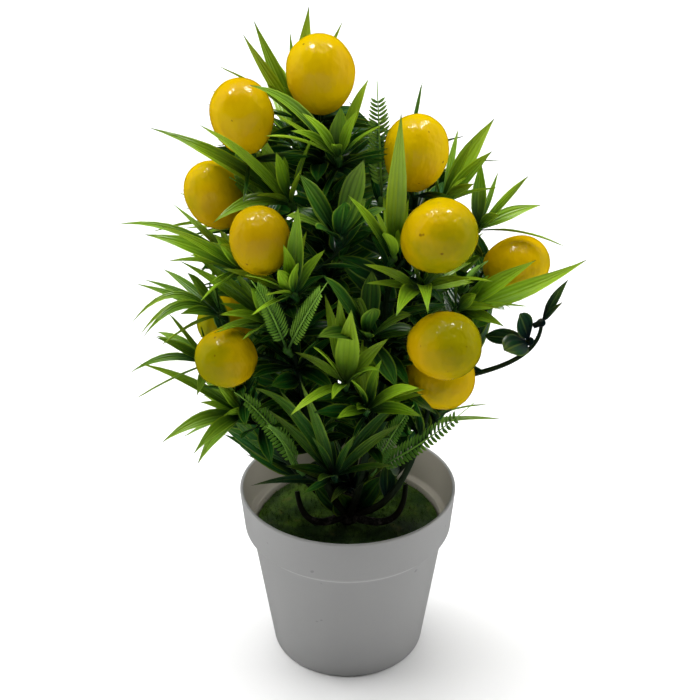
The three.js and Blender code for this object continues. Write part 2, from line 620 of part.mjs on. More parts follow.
function placeFan(spray, place, heading, seed, taken) {
  const shape = SHAPES[spray.shape ?? "fan"];
  const random = series(seed);
  const attempts = SHORTER.flatMap((share) => TURNS.map((turn) => ({ share, turn })));
  const leaves = [];
  for (let i = 0; i < spray.more; i++) {
    const angle = 137.5 * i + 40 * random();
    const lean = LEAN.least + ((LEAN.most - LEAN.least) * (i + random())) / spray.more;
    const length = spray.reach * (0.8 + 0.4 * random());
    const sag = 0.06 + 0.2 * random();
    const width = 0.8 + 0.4 * random();
    const make = ({ share, turn }, grow, first) => {
      const curve = fanCurve(place, heading, angle + turn, lean, share * length, sag);
      return blade(curve, heading, shape, width, grow, first);
    };
    const found = settle(attempts, make, spray.name, taken);
    if (!found) continue;
    takeLeaf(make, found, spray.name, taken);
    leaves.push({ solid: make(found, 0), grown: make(found, GAP) });
  }
  return leaves;
}

// ---- The tree ----

const root = new THREE.Group();

function add(name, finish, solid) {
  const material = new THREE.MeshStandardMaterial({ ...FINISHES[finish], metalness: 0 });
  const mesh = new THREE.Mesh(geometryOf(solid.simplify(TOLERANCE)), material);
  mesh.name = name;
  root.add(mesh);
}

const sprays = [...SPRAYS, ...FERNS.map((fern) => ({ ...fern, finish: "fern" })), ...backSprays()];
const seats = sprays.map(({ at }) => ({ place: vector(at), heading: headingAt(vector(at)), past: -0.6 }));
const stalks = LEMONS.map((lemon) => ({
  place: stalkEnd(lemon),
  heading: vector(lemon.points).normalize(),
  past: PEG,
}));
const twigs = twigCurves([...seats, ...stalks]);
const stem = makeStem(twigs);
const stemCutter = makeStem(twigs, GAP);
const lemons = LEMONS.map((lemon) => makeLemon(lemon).subtract(stemCutter));
const pot = makePot();
const moss = makeMoss(stemCutter);

// What leaves keep clear of: the stem, the lemons, the pot, the moss and every collar.
const taken = [{ outer: stem, owner: "stem" }];
taken.push(...[...lemons, pot, moss].map((whole) => ({ whole, owner: "" })));
seats.forEach((seat, i) => {
  const knob = collar(seat);
  taken.push({ whole: knob, outer: knob, owner: sprays[i].name });
});

const leaves = sprays.map((spray, i) =>
  (spray.finish === "fern" ? placeFronds : placeShown)(spray, seats[i].place, taken),
);
sprays.forEach((spray, i) => {
  if (spray.more) leaves[i].push(...placeFan(spray, seats[i].place, seats[i].heading, i + 1, taken));
});

add("pot", "pot", pot);
add("filler", "filler", makeFiller(stemCutter));
add("moss", "moss", moss);
add("stem", "stem", stem);
lemons.forEach((lemon, i) => add(`lemon_${i + 1}`, "lemon", lemon));

const cutters = [stemCutter, pot, ...LEMONS.map((lemon) => makeLemon(lemon, GAP))];
sprays.forEach((spray, i) => {
  const whole = joined([collar(seats[i]), ...leaves[i].map((leaf) => leaf.solid)]);
  const kind = spray.finish === "fern" ? "fronds" : "leaves";
  add(`${spray.name}_${kind}`, spray.finish, cutClear(whole, cutters));
  cutters.push(collar(seats[i], GAP), ...leaves[i].map((leaf) => leaf.grown));
});

export default root;
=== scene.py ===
"""The looks of a potted artificial lemon tree: a moulded plastic pot, a mat of moss, a moulded stem, sprays
of strap, oval and round leaves, fern fronds and glossy lemons.

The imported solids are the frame. Every piece here stands where its solid stands, with the form that the solid
has, and the rules that placed the solids' leaves place the finer ones too. Sizes are in millimetres, in the
part's own frame, until a piece is made in metres."""

import math
from typing import NamedTuple

import bpy
from bpy.props import FloatProperty, FloatVectorProperty, IntProperty, PointerProperty
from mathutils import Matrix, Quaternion, Vector, noise
from mathutils.bvhtree import BVHTree


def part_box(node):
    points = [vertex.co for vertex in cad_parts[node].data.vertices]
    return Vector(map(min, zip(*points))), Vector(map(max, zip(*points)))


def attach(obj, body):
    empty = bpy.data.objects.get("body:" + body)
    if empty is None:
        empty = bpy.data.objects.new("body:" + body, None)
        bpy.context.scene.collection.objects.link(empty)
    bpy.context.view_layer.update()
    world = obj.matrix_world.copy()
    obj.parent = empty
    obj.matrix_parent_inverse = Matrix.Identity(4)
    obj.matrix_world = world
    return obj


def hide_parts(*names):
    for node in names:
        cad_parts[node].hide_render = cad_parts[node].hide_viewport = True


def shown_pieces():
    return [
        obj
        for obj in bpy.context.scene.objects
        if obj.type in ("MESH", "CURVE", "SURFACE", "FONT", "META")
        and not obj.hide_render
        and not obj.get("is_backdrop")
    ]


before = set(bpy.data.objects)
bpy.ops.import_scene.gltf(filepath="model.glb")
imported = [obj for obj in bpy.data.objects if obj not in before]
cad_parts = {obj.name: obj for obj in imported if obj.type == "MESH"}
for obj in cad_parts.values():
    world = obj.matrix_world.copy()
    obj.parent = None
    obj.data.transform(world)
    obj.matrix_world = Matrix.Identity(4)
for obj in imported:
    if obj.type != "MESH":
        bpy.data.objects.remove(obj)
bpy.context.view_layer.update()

bl_info = {
    "name": "Potted Lemon Tree",
    "version": (1, 0, 0),
    "blender": (4, 5, 0),
    "location": "3D View > Sidebar > Lemon Tree",
    "description": "Dresses the solids of a potted lemon tree with leaves, fronds, lemons, moss and finishes",
    "category": "Object",
}

MM = 0.001
UP = Vector((0, 0, 1))
FRONT_UP = Vector((0, -0.6, 0.8))  # the way that the broad face of a shown leaf looks
TO_EYE = Vector((0, -0.9, 0.435))

# ---- Sizes that the solids have too ----

GAP = 0.3
POT_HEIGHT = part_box("pot")[1].z / MM
RIM_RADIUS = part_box("pot")[1].x / MM
COLLAR_HEIGHT = 25
COLLAR_FOOT_RADIUS = 60.3
SHOULDER_HEIGHT = 3.5
BODY_TOP_RADIUS = 56.2
BASE_RADIUS = 46
WALL = 2
FLOOR_THICKNESS = 2.6
LEDGE_RISE = 1.6  # of the step inside the pot above the collar's foot
MOSS_TOP = 80.5
STEM_FOOT = 42
KNOB_TOP = 96
LIMB_FOOT = (4.5, 9)  # how far from the axis and below the knob's top a limb starts
PEG = 3  # how deep a twig's end stands in its lemon
SLEEVE = -0.6  # how deep it stands in its spray's knob
ROOT = 2  # how far from a knob's middle its leaves start
KEEL = 0.45  # how thick a solid's leaf is under its middle
GOLDEN_TURN = 137.5  # degrees from a leaf of a fan to the next
FAN_TURNS = (0, 16, -16, 32, -32)  # tried one after another, as the next two are
SHORTER = (1, 0.75, 0.5)
NEARER = (0, 7, -7, 14, -14, 21, 28)
SAME_PLACE = 0.05

# ---- Sizes of the finer pieces ----

PAINTED_LINE_HEIGHT = 0.0775  # of the painted highlight line under the collar, in metres
MOSS_RADIUS = 53.2
POT_SIDES = 128
LEMON_ROWS, LEMON_SIDES = 30, 44
LEMON_DENTS = 0.55
LIMB_RADIUS = (2.3, 1.4)
PRONG_RADIUS = (2.6, 1.4)
TWIG_RADIUS = (1.05, 0.85)
TWIG_SPACING = 3.9  # between the places that two twigs leave the limbs from
LEAF_THICKNESS = 0.42
LEAF_COLUMNS = (-1.0, -0.52, 0.0, 0.52, 1.0)
RIBS = 14  # radians of the ribs' wave from a leaf's middle to its margin
FROND_HALF_WIDTH = 6.5
FROND_BARE = (0.1, 0.84)  # the shares of a frond's rib that the leaflets start and end at


class Limb(NamedTuple):
    """A limb over via to its end. It leaves the stem's knob, or a place of its own."""

    via: tuple
    to: tuple
    start: tuple = None
    radius: tuple = LIMB_RADIUS


class Lemon(NamedTuple):
    """A lemon: its middle, the way its tip points, its size, how far its cheek is from ripe, the way that the
    cheek looks, and how much painted shade darkens it."""

    at: tuple
    points: tuple
    wide: float
    long: float
    green: float = 0
    cheek: tuple = (0, 0, 1)
    painted_shade: float = 0


class LeafShape(NamedTuple):
    """Shares of the full width at stations along a leaf, how far its halves fold up, and half that width."""

    stations: list
    fold: float
    wide: float


class Spray(NamedTuple):
    """Leaves on one knob: the finish, the knob's place, how many leaves stand round it, how far they reach, and
    the tip, arch and, where it isn't 1, width of each leaf that shows."""

    name: str
    finish: str
    at: tuple
    more: int
    reach: float
    tips: list
    look: str = None
    shape: str = None


LIMBS = [
    Limb((-8, 0, 210), (-14, -2, 316)),
    Limb((-34, -6, 190), (-50, -14, 300)),
    Limb((-46, -22, 140), (-66, -22, 200)),
    Limb((30, -6, 190), (34, -16, 284)),
    Limb((52, -16, 140), (74, -16, 230)),
    Limb((10, -46, 130), (20, -44, 246)),
    Limb((-18, -46, 130), (-32, -40, 250)),
    Limb((30, -40, 110), (42, -40, 176)),
    Limb((0, 40, 150), (4, 54, 250)),
    Limb((-35, 32, 150), (-44, 36, 276)),
    Limb((36, 32, 150), (44, 38, 268)),
    Limb((102, -29, 198), (99, -30, 222), (59, -15, 182), (1.5, 0.95)),
]
# Each prong from the knob, over a bend, to its tip.
PRONGS = [
    ((4, -6, 86), (32, -20, 82), (33, -12, 112)),
    ((-4, -6, 86), (-26, -20, 83), (-29, -10, 106)),
    ((0, 5, 86), (6, 32, 84), (10, 36, 106)),
]
LEMONS = [
    Lemon((-13, -8, 342), (-0.05, -0.1, 1), 33.5, 39),
    # The green on this lemon's right cheek is painted reflection of the leaves beside it.
    Lemon((-50, -22, 325), (-0.15, -0.1, 1), 30.5, 37, 0.3, (1, -0.3, -0.6)),
    Lemon((-66, -16, 284), (-0.35, -0.1, 0.95), 29, 36, 0.35, (-1, -0.4, 0)),
    Lemon((-41, -52, 273), (-0.05, -0.35, 0.95), 29, 36, green=0.3, painted_shade=0.4),
    Lemon((-59, -58, 215), (-0.35, -0.75, 0.25), 29.5, 34, 0.85, (-0.9, -0.6, -0.2), 0.3),
    Lemon((-66, 2, 206), (-0.9, -0.1, 0.4), 28.5, 32, 0.8, (-1, -0.6, 0.4)),
    Lemon((33, -25, 308), (0.1, -0.15, 1), 31.5, 38.5),
    Lemon((42, -62, 279), (0.6, -0.5, 0.62), 34, 39, 0.9, (0.5, -0.8, -0.3), 0.2),
    Lemon((87, -12, 246), (0.9, -0.25, 0.3), 28.5, 35, 0.3, (1, -0.2, 0.2)),
    Lemon((45, -78, 231), (0.75, -0.6, 0.2), 32.5, 36.5, 0.85, (0.7, -0.8, 0.2), 0.35),
    Lemon((47, -44, 198), (0.65, -0.5, -0.4), 33, 37, 0.35, (0, -1, 0), 0.3),
    Lemon((-55, 42, 309), (-0.3, 0.4, 0.9), 30, 36),
    Lemon((38, 50, 287), (0.3, 0.5, 0.85), 31, 37, 0.7, (0.5, 1, 0.3)),
    Lemon((-73, 44, 264), (-0.6, 0.5, 0.5), 28, 34, 0.9, (-0.3, 1, 0.4)),
    Lemon((95, 46, 224), (0.8, 0.5, 0.3), 29, 34),
    Lemon((-51, 78, 225), (-0.2, 0.8, 0.5), 29, 34, 0.4, (-0.6, 0.7, 0)),
]

SHAPES = {
    "strap": LeafShape([(0, 0.22), (0.24, 0.86), (0.5, 0.94), (0.76, 0.5)], 0.3, 3.6),
    "fan": LeafShape([(0, 0.2), (0.3, 0.96), (0.64, 0.72)], 0.3, 3.1),
    "oval": LeafShape([(0, 0.16), (0.28, 0.84), (0.68, 0.94)], 0.22, 4.6),
    "round": LeafShape([(0, 0.14), (0.3, 0.86), (0.6, 1), (0.86, 0.66)], 0.12, 7),
}
INNER_SHAPE = LeafShape([(0, 0.2), (0.3, 0.95), (0.66, 0.8)], 0.24, 4.4)
LEAFLET = [(0, 0.7), (0.45, 1), (0.8, 0.62)]
LEAN = (14, 56)  # degrees that the first and the last leaf of a fan lean by

SPRAYS = [
    Spray("crown", "bright", (-25, 3, 318), 4, 46, [
        (-50, -5, 361, -0.06), (-46, 5, 368, -0.05), (-19, 15, 373, 0, 1.3), (-2, 15, 366, 0, 0.7),
        (-29, 20, 360, 0, 0.6)]),
    Spray("shoulder", "bright", (-4, -26, 306), 4, 44, [
        (-45, -40, 344, 0.24), (-21, -46, 333, 0.1, 1.2), (-26, -42, 322, 0.15), (5, -40, 333, 0.08),
        (-3, -32, 334, 0.05, 1.5)]),
    Spray("upper_left", "bright", (-28, -22, 282), 4, 46, [
        (-94, -30, 322, 0.12, 1.05), (-67, -52, 329, 0.1), (-64, -46, 280, 0.26, 1.2), (-82, 0, 304, 0.05),
        (-21, -50, 308, 0.04, 0.8)]),
    Spray("mid_left", "bright", (-50, -34, 250), 4, 43, [
        (-115, -25, 272, 0.26, 0.7), (-98, -42, 273, 0.12, 1.3), (-88, -52, 281, 0.08, 0.8),
        (-90, -15, 282, 0.04, 0.6)]),
    Spray("inner_left", "bright", (-38, -42, 226), 4, 42, [
        (-81, -48, 262, 0.08, 0.8), (-79, -32, 262, 0.06, 0.7), (-60, -72, 244, 0.1)]),
    Spray("far_left", "deep", (-66, -20, 221), 4, 42, [
        (-107, -8, 236, 0.1, 0.6), (-112, -26, 218, 0.6, 0.6), (-106, -36, 216, 0.56, 0.6),
        (-102, -46, 220, 0.5, 0.75), (-83, -38, 229, 0.1, 1.1)], look="mid"),
    Spray("low_left", "deep", (-72, -28, 197), 4, 40, [
        (-102, -15, 207, 0.1, 0.7), (-114, -30, 192, 0.3, 0.7), (-96, -45, 220, 0.05, 0.8),
        (-78, -40, 184, 0.1, 0.8)], look="mid"),
    Spray("skirt_left", "bright", (-56, -24, 164), 4, 38, [
        (-98, -42, 157, 0.24, 1.2), (-80, -52, 156, 0.22, 1.1), (-82, -30, 136, 0.3, 1.2),
        (-107, -40, 203, 0.12, 0.8)]),
    Spray("front_low", "deep", (-7, -38, 134), 2, 46, [
        (-34, -62, 200, 0.04), (-41, -68, 192, 0.06, 0.9), (-45, -82, 211, 0.22, 1.1),
        (-23, -66, 207, 0.02, 0.9), (29, -56, 192, 0.1), (28, -66, 183, 0.08, 0.9), (4, -66, 176, 0.04, 0.9),
        (-18, -62, 173, 0.04, 0.7)]),
    Spray("centre", "bright", (-1, -58, 200), 4, 44, [
        (-4, -68, 253, 0.03, 1.1), (2, -74, 248, 0.03, 1.7), (20, -82, 237, 0.08, 1.1)]),
    Spray("right_low", "bright", (10, -58, 186), 4, 42, [
        (33, -98, 219, 0.1, 1.4), (36, -84, 196, 0.12, 1.1), (16, -84, 227, 0.08)]),
    Spray("under_lemon", "bright", (36, -46, 246), 5, 42, [
        (7, -68, 268, 0.06, 0.9), (8, -76, 262, 0.06, 0.7), (22, -88, 250, 0.24, 1.3), (36, -94, 254, 0.3),
        (56, -74, 263, 0.08, 0.9)]),
    Spray("right_reach", "bright", (56, -26, 226), 4, 44, [
        (92, -42, 260, 0.02, 1.4), (118, -32, 256, -0.1, 1.5), (78, -46, 226, 0.1)]),
    Spray("right_rise", "bright", (66, -10, 264), 4, 44, [
        (98, -12, 278, 0.1, 1.1), (67, -4, 299, 0.04, 1.1)]),
    Spray("upper_right", "bright", (48, -4, 276), 4, 44, [
        (74, 5, 318, 0.08, 1.4), (62, -8, 310, 0.04, 0.8), (58, -26, 297, 0.1, 0.7)]),
    Spray("tall_front", "bright", (22, -46, 262), 3, 40, [
        (24, -58, 336, 0, 1.35), (17, -82, 289, 0.12, 1.2), (0, -70, 302, 0.08)]),
    Spray("centre_left", "bright", (-26, -52, 246), 4, 42, [
        (-22, -68, 296, 0.04, 1.2), (-29, -78, 282, 0.06, 1.1), (-10, -74, 278, 0.06, 1.1)]),
    Spray("ovals_upper", "deep", (-4, -46, 272), 6, 34, [
        (-1, -74, 300, 0.08), (-14, -76, 288, 0.1), (-22, -58, 308, 0.06),
        (8, -48, 312, 0.06, 1.2)], shape="oval"),
    Spray("ovals_lower", "deep", (10, -52, 222), 6, 34, [
        (-11, -78, 266, 0.08), (12, -82, 252, 0.1), (-14, -84, 238, 0.12),
        (24, -86, 212, 0.12)], shape="oval"),
    Spray("foot", "dusk", (2, -14, 112), 4, 44, [
        (-54, -26, 120, 0.16, 0.8), (-34, -40, 142, 0.05), (30, -34, 150, 0.04, 1.5),
        (16, -36, 138, 0.02, 1.7)]),
    Spray("outrider_low", "dusk", (94, -29, 210), 0, 24, [
        (79, -42, 211, 0.04), (87, -34, 228, 0.04, 0.8), (72, -18, 208, 0.06, 0.7)], shape="round"),
    Spray("outrider_tip", "dusk", (99, -30, 221), 0, 30, [
        (111, -30, 245, 0.12, 0.7), (107, -40, 237, 0.04, 0.5)]),
]
FERNS = [
    Spray("fern_right_top", "fern", (17, -24, 284), 0, 0, [(14, -22, 342, 0.02)]),
    Spray("fern_left_mid", "fern", (-30, -48, 214), 0, 0, [(-44, -74, 262, 0.12), (-9, -76, 262, 0.05)]),
    Spray("fern_right_low", "fern", (14, -28, 132), 0, 0, [(63, -48, 185, -0.08), (33, -64, 192, 0.06)]),
    Spray("fern_left_low", "fern", (-26, -28, 132), 0, 0, [(-56, -62, 198, 0.14), (-40, -72, 184, 0.12)]),
    Spray("fern_left_top", "fern", (-38, -10, 272), 0, 0, [(-57, -40, 303, 0.12)]),
    Spray("fern_right_mid", "fern", (60, -20, 236), 0, 0, [(66, -50, 262, 0.1), (84, -22, 226, 0.05)]),
]
# The sprays at the back: how many, the lowest and highest, the degrees from the tree's right that they start
# at, turn by and keep within, and the leaves of each. They stand on the crown's radii, which go by height.
BACK = {"count": 12, "low": 138, "high": 300, "first": 12, "turn": 97, "span": 156, "leaves": 5, "reach": 52}
CROWN_RADII = [(130, 30), (190, 56), (235, 60), (280, 46), (320, 22)]
BACK_FINISHES = ["bright", "deep", "bright"]
# The broad leaves that stand round the trunk's foot: from, to and width.
CUPS = [
    ((6, -6, 91), (20, -18, 122), 1.5), ((-6, -6, 91), (-20, -18, 118), 1.3),
    ((5, -5, 91), (22, -10, 112), 1.1), ((-2, -8, 90), (-5, -17, 110), 1.6),
]
CUP_BULGE = 0.15
WHORL_REACH = 34  # of the dark leaves up the limbs
WHORL_LEAN = (24, 84)
WHORL_FLOOR = 150
INNER_WIDTHS = ((1.1, 13), (0.7, 10), (0.45, 6))  # each with how far its leaf goes on past its gap
INNER_ROUNDS = 2
INNER_LENGTH = (7, 56)
INNER_ROOTS = 9
INNER_BEFORE = 14  # how much nearer the eye than its gap a leaf's root may be
DEPTHS = (6, 14, 24, 36, 50, 62)
FOOT_DEPTHS = (-24, -16, -9, 0)

# Where someone's eye is who stands before the tree, and the thick part of the crown as they see it: its left
# and right ends by height, on the upright plane through the tree's axis. The sides are taken as even.
EYE_AWAY, EYE_HEIGHT = 540.6, 451.3
FRONT_OUTLINE = [
    (92, -30, 20), (107, -46, 24), (121, -53, 29), (134, -66, 36), (147, -75, 47), (160, -80, 66),
    (197, -80, 72), (215, -78, 77), (232, -78, 90), (249, -80, 72), (266, -80, 63), (282, -78, 52),
    (298, -67, 48), (313, -62, 20), (320, -58, 8), (328, -54, 0), (343, -30, -6), (357, -26, -8),
]
SIDE_OUTLINE = [(140, -52, 52), (197, -70, 70), (249, -70, 70), (298, -52, 52), (343, -20, 20)]
FOOT_OUTLINE = [(92, -7, 12), (100, -11, 20), (110, -20, 26), (121, -34, 30)]
CELL = 2.2  # of the grids that gaps are looked for on
ROOM_CELL = 24
EXTRA_SPARE, INNER_SPARE = 5, 2  # how far past the crown's outline a leaf may end
MOSS_SEED, EXTRA_SEED, LIMB_SEED, WHORL_SEED, SPRAY_SEED = 77, 200, 300, 400, 900
SIGHT_SAMPLES = (0.3, 0.5, 0.7, 0.85, 1)  # along a leaf, where it may come before a lemon
COVER_STEPS = 24
COVER_ACROSS = (-0.8, -0.4, 0, 0.4, 0.8)

# Where the camera aims and where the lights shine, in metres.
AIM = (0.0013, 0, 0.1911)
LIT_PLACE = (0, 0, 0.15)

# ---- What a user would change ----


def colour(name, description, default):
    return FloatVectorProperty(
        name=name, description=description, default=default, subtype="COLOR", size=3, min=0, max=1
    )


def amount(name, description, default, **limits):
    return FloatProperty(name=name, description=description, default=default, **limits)


def count(name, description, default, least, most):
    return IntProperty(name=name, description=description, default=default, min=least, max=most)


class FoliageSettings(bpy.types.PropertyGroup):
    """How dense the foliage is, and its colours."""

    extra_leaves: count("Extra Leaves", "Leaves that each spray gets besides its solid's", 6, 0, 12)
    whorls: count("Whorls", "Whorls of small leaves along each limb", 10, 0, 14)
    whorl_leaves: count("Whorl Leaves", "Leaves in each whorl", 7, 3, 9)
    leaflets: count("Leaflets", "Pairs of leaflets on a frond", 20, 7, 24)
    bright: colour("Bright Leaf", "Lit half of the bright strap leaves", (0.19, 0.365, 0.011))
    deep: colour("Deep Leaf", "Lit half of the deeper leaves", (0.03, 0.135, 0.011))
    dusk: colour("Dusk Leaf", "The bluish leaves near the foot", (0.007, 0.05, 0.015))
    fern: colour("Fern", "The fronds", (0.055, 0.18, 0.015))


class FruitSettings(bpy.types.PropertyGroup):
    """The lemons' colours."""

    ripe: colour("Ripe", "Main yellow", (0.63, 0.425, 0.0))
    green: colour("Green", "The greener cheeks", (0.25, 0.24, 0.0))
    warm: colour("Warm", "The warmer cheeks", (0.58, 0.33, 0.0))


class PotSettings(bpy.types.PropertyGroup):
    """The pot's colour, and the moss in it."""

    plastic: colour("Plastic", "The pot's light grey", (0.335, 0.335, 0.333))
    # Painted light: the inside is lighter and warmer than the plastic, standing in for the warm light inside the
    # pot.
    inside: colour("Inside", "The dusty inside of the pot", (0.47, 0.43, 0.355))
    moss_dark: colour("Moss", "The moss in the shade", (0.012, 0.035, 0.006))
    moss_light: colour("Moss Tips", "The tips of the moss", (0.078, 0.155, 0.01))
    tufts: count("Tufts", "Tufts that stand out of the moss", 1500, 0, 4000)


class StageSettings(bpy.types.PropertyGroup):
    """The light and the camera."""

    overhead: amount("Overhead", "Strength of the soft light overhead", 4.4, min=0)
    softness: amount("Softness", "How wide the soft lights are", math.radians(60), min=0, subtype="ANGLE")
    lamp: amount("Lamp", "Strength of the small lamps that make the highlights", 1.6, min=0)
    lamp_width: amount("Lamp Width", "How wide each lamp is", math.radians(9), min=0, subtype="ANGLE")
    sides: amount("Sides", "Strength of the soft lights at the sides", 1.9, min=0)
    fill: amount("Fill", "Strength of the light from all round", 0.07, min=0)
    distance: amount("Distance", "From the camera to the tree", 0.6, min=0.2, unit="LENGTH")
    elevation: amount("Elevation", "Camera's angle above the horizon", math.radians(25.705), subtype="ANGLE")
    lens: amount("Lens", "Focal length on a 36 mm sensor", 56.34, min=10, unit="CAMERA")


# ---- Curves and rules that the solids follow too ----


def all_round(count):
    """As many angles as counted, evenly round."""
    return [2 * math.pi * j / count for j in range(count)]


class Arc:
    """A quadratic curve from start, pulled towards via, to end."""

    def __init__(self, start, via, end):
        self.start, self.via, self.end = Vector(start), Vector(via), Vector(end)

    def at(self, t):
        return (1 - t) ** 2 * self.start + 2 * t * (1 - t) * self.via + t * t * self.end

    def along(self, t):
        step = (1 - t) * (self.via - self.start) + t * (self.end - self.via)
        return step.normalized()

    def lie(self, t, face):
        """How a leaf that faces a way lies at t: its middle, the way on, the way to its side and its up."""
        forward = self.along(t)
        side = forward.cross(face).normalized()
        return self.at(t), forward, side, side.cross(forward)

    def length(self, steps=24):
        return sum((self.at((i + 1) / steps) - self.at(i / steps)).length for i in range(steps))


def series(seed):
    """A repeatable series of numbers from 0 to 1."""
    state = (seed * 7919 + 104729) % 2**32
    while True:
        state = (state * 1664525 + 1013904223) % 2**32
        yield state / 2**32


def heading_at(place):
    """The way that a spray looks: up, and the more outwards the further it is from the axis."""
    return Vector((place.x / 60, place.y / 150, 0.9)).normalized()


def limb_arc(limb):
    out, below = LIMB_FOOT
    side = Vector((*limb.via[:2], 0)).normalized()
    return Arc(limb.start or Vector((0, 0, KNOB_TOP - below)) + out * side, limb.via, limb.to)


def stalk_end(lemon):
    return Vector(lemon.at) - Vector(lemon.points).normalized() * lemon.long / 2


def back_sprays():
    sprays = []
    for i in range(BACK["count"]):
        z = BACK["low"] + (BACK["high"] - BACK["low"]) * i / (BACK["count"] - 1)
        angle = math.radians(BACK["first"] + (i * BACK["turn"]) % BACK["span"])
        k = next(k for k, (height, _) in enumerate(CROWN_RADII) if height > z)
        (z0, r0), (z1, r1) = CROWN_RADII[k - 1], CROWN_RADII[k]
        r = r0 + (r1 - r0) * (z - z0) / (z1 - z0)
        at = tuple(math.floor(v + 0.5) for v in (r * math.cos(angle), r * math.sin(angle), z))
        finish = BACK_FINISHES[i % len(BACK_FINISHES)]
        sprays.append(Spray(f"back_{i + 1}", finish, at, BACK["leaves"], BACK["reach"], []))
    return sprays


ALL_SPRAYS = SPRAYS + FERNS + back_sprays()


def node_of(spray):
    return f"{spray.name}_{'fronds' if spray.finish == 'fern' else 'leaves'}"


def twig_arcs():
    """Each spray's and each lemon's twig, from the nearest free spot on the limbs, rather one below it."""
    ends = [(Vector(spray.at), heading_at(Vector(spray.at)), SLEEVE) for spray in ALL_SPRAYS]
    ends += [(stalk_end(lemon), Vector(lemon.points).normalized(), PEG) for lemon in LEMONS]
    spots = [limb_arc(limb).at(0.22 + 0.025 * i) for limb in LIMBS for i in range(32)]
    arcs = []
    for place, heading, past in ends:
        start = min(spots, key=lambda spot: (spot - place).length + 0.6 * max(0, spot.z - place.z + 10))
        spots = [spot for spot in spots if (spot - start).length > TWIG_SPACING]
        arcs.append(Arc(start, place - 0.45 * (start - place).length * heading, place + past * heading))
    return arcs


def shown_arc(place, tip, nearer):
    """The arc of a leaf that shows, moved nearer the eye by some millimetres."""
    end = Vector(tip[:3]) + nearer * TO_EYE
    chord = end - place
    return Arc(place + ROOT * chord.normalized(), (place + end) / 2 + tip[3] * chord.length * UP, end)


def fan_arc(place, heading, angle, lean, length, sag):
    """The arc of a leaf at an angle round a heading, that leans away from it."""
    start = heading.cross(Vector((0.2, 1, 0.1))).normalized()
    out = Quaternion(heading, math.radians(angle)) @ start
    way = heading * math.cos(math.radians(lean)) + out * math.sin(math.radians(lean))
    return Arc(place + ROOT * way, place + 0.55 * length * way, place + length * way - sag * length * UP)


# ---- Room for more leaves ----


def shell_of(thing):
    """A piece's corners and faces."""
    mesh = thing.data
    return [corner.co / MM for corner in mesh.vertices], [tuple(face.vertices) for face in mesh.polygons]


def keel_blade(arc, face, shape, width, grow=0.0, first=0):
    """The plain solid of a leaf: the corners and triangles that the part's source gives it."""
    points = []
    for t, share in shape.stations[first:]:
        middle, _, side, up = arc.lie(t, face)
        w = shape.wide * width * share
        edge, half = middle + up * (shape.fold * w + grow), w + 4 * grow
        points += [edge - side * half, edge + side * half, middle - up * (KEEL + 1.2 * grow)]
    faces = [(0, 2, 1)]
    last = len(points) - 3
    for i in range(0, last, 3):
        a, b, c = i, i + 1, i + 2
        faces += [(a, b, b + 3), (a, b + 3, a + 3), (a, c + 3, c), (a, a + 3, c + 3)]
        faces += [(c, c + 3, b), (b, c + 3, b + 3)]
    points.append(arc.at(1) + grow * arc.along(1))
    tip = last + 3
    faces += [(last, last + 1, tip), (last, tip, last + 2), (last + 2, tip, last + 1)]
    return points, faces


def box_of(points):
    return [min(p[k] for p in points) for k in range(3)], [max(p[k] for p in points) for k in range(3)]


class Room:
    """What a new leaf has to keep clear of: the frame's nodes and the leaves added so far."""

    def __init__(self):
        self.things, self.cells = [], {}
        for name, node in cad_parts.items():
            self.add(name, *shell_of(node))

    def near(self, low, high):
        """The cells that a box reaches into."""
        spans = [range(int(low[k] // ROOM_CELL), int(high[k] // ROOM_CELL) + 1) for k in range(3)]
        return [(x, y, z) for x in spans[0] for y in spans[1] for z in spans[2]]

    def add(self, owner, points, faces):
        low, high = box_of(points)
        for cell in self.near(low, high):
            self.cells.setdefault(cell, []).append(len(self.things))
        self.things.append((owner, low, high, BVHTree.FromPolygons(points, faces)))

    def clear(self, arc, face, shape, width, owner):
        """Whether a leaf crosses nothing. It is tested whole against others, and without its root against its
        owner and the stem."""
        tests = []
        for first in (0, 1):
            points, faces = keel_blade(arc, face, shape, width, GAP, first)
            tests.append((*box_of(points), BVHTree.FromPolygons(points, faces)))
        close = sorted({i for cell in self.near(*tests[0][:2]) for i in self.cells.get(cell, ())})
        for name, low, high, tree in (self.things[i] for i in close):
            least, most, leaf = tests[name in (owner, "stem")]
            if all(least[k] <= high[k] and low[k] <= most[k] for k in range(3)) and leaf.overlap(tree):
                return False
        return True

    def take(self, arc, face, shape, width, owner):
        points, faces = keel_blade(arc, face, shape, width, 0.0, 1)
        self.add(owner, points, faces)


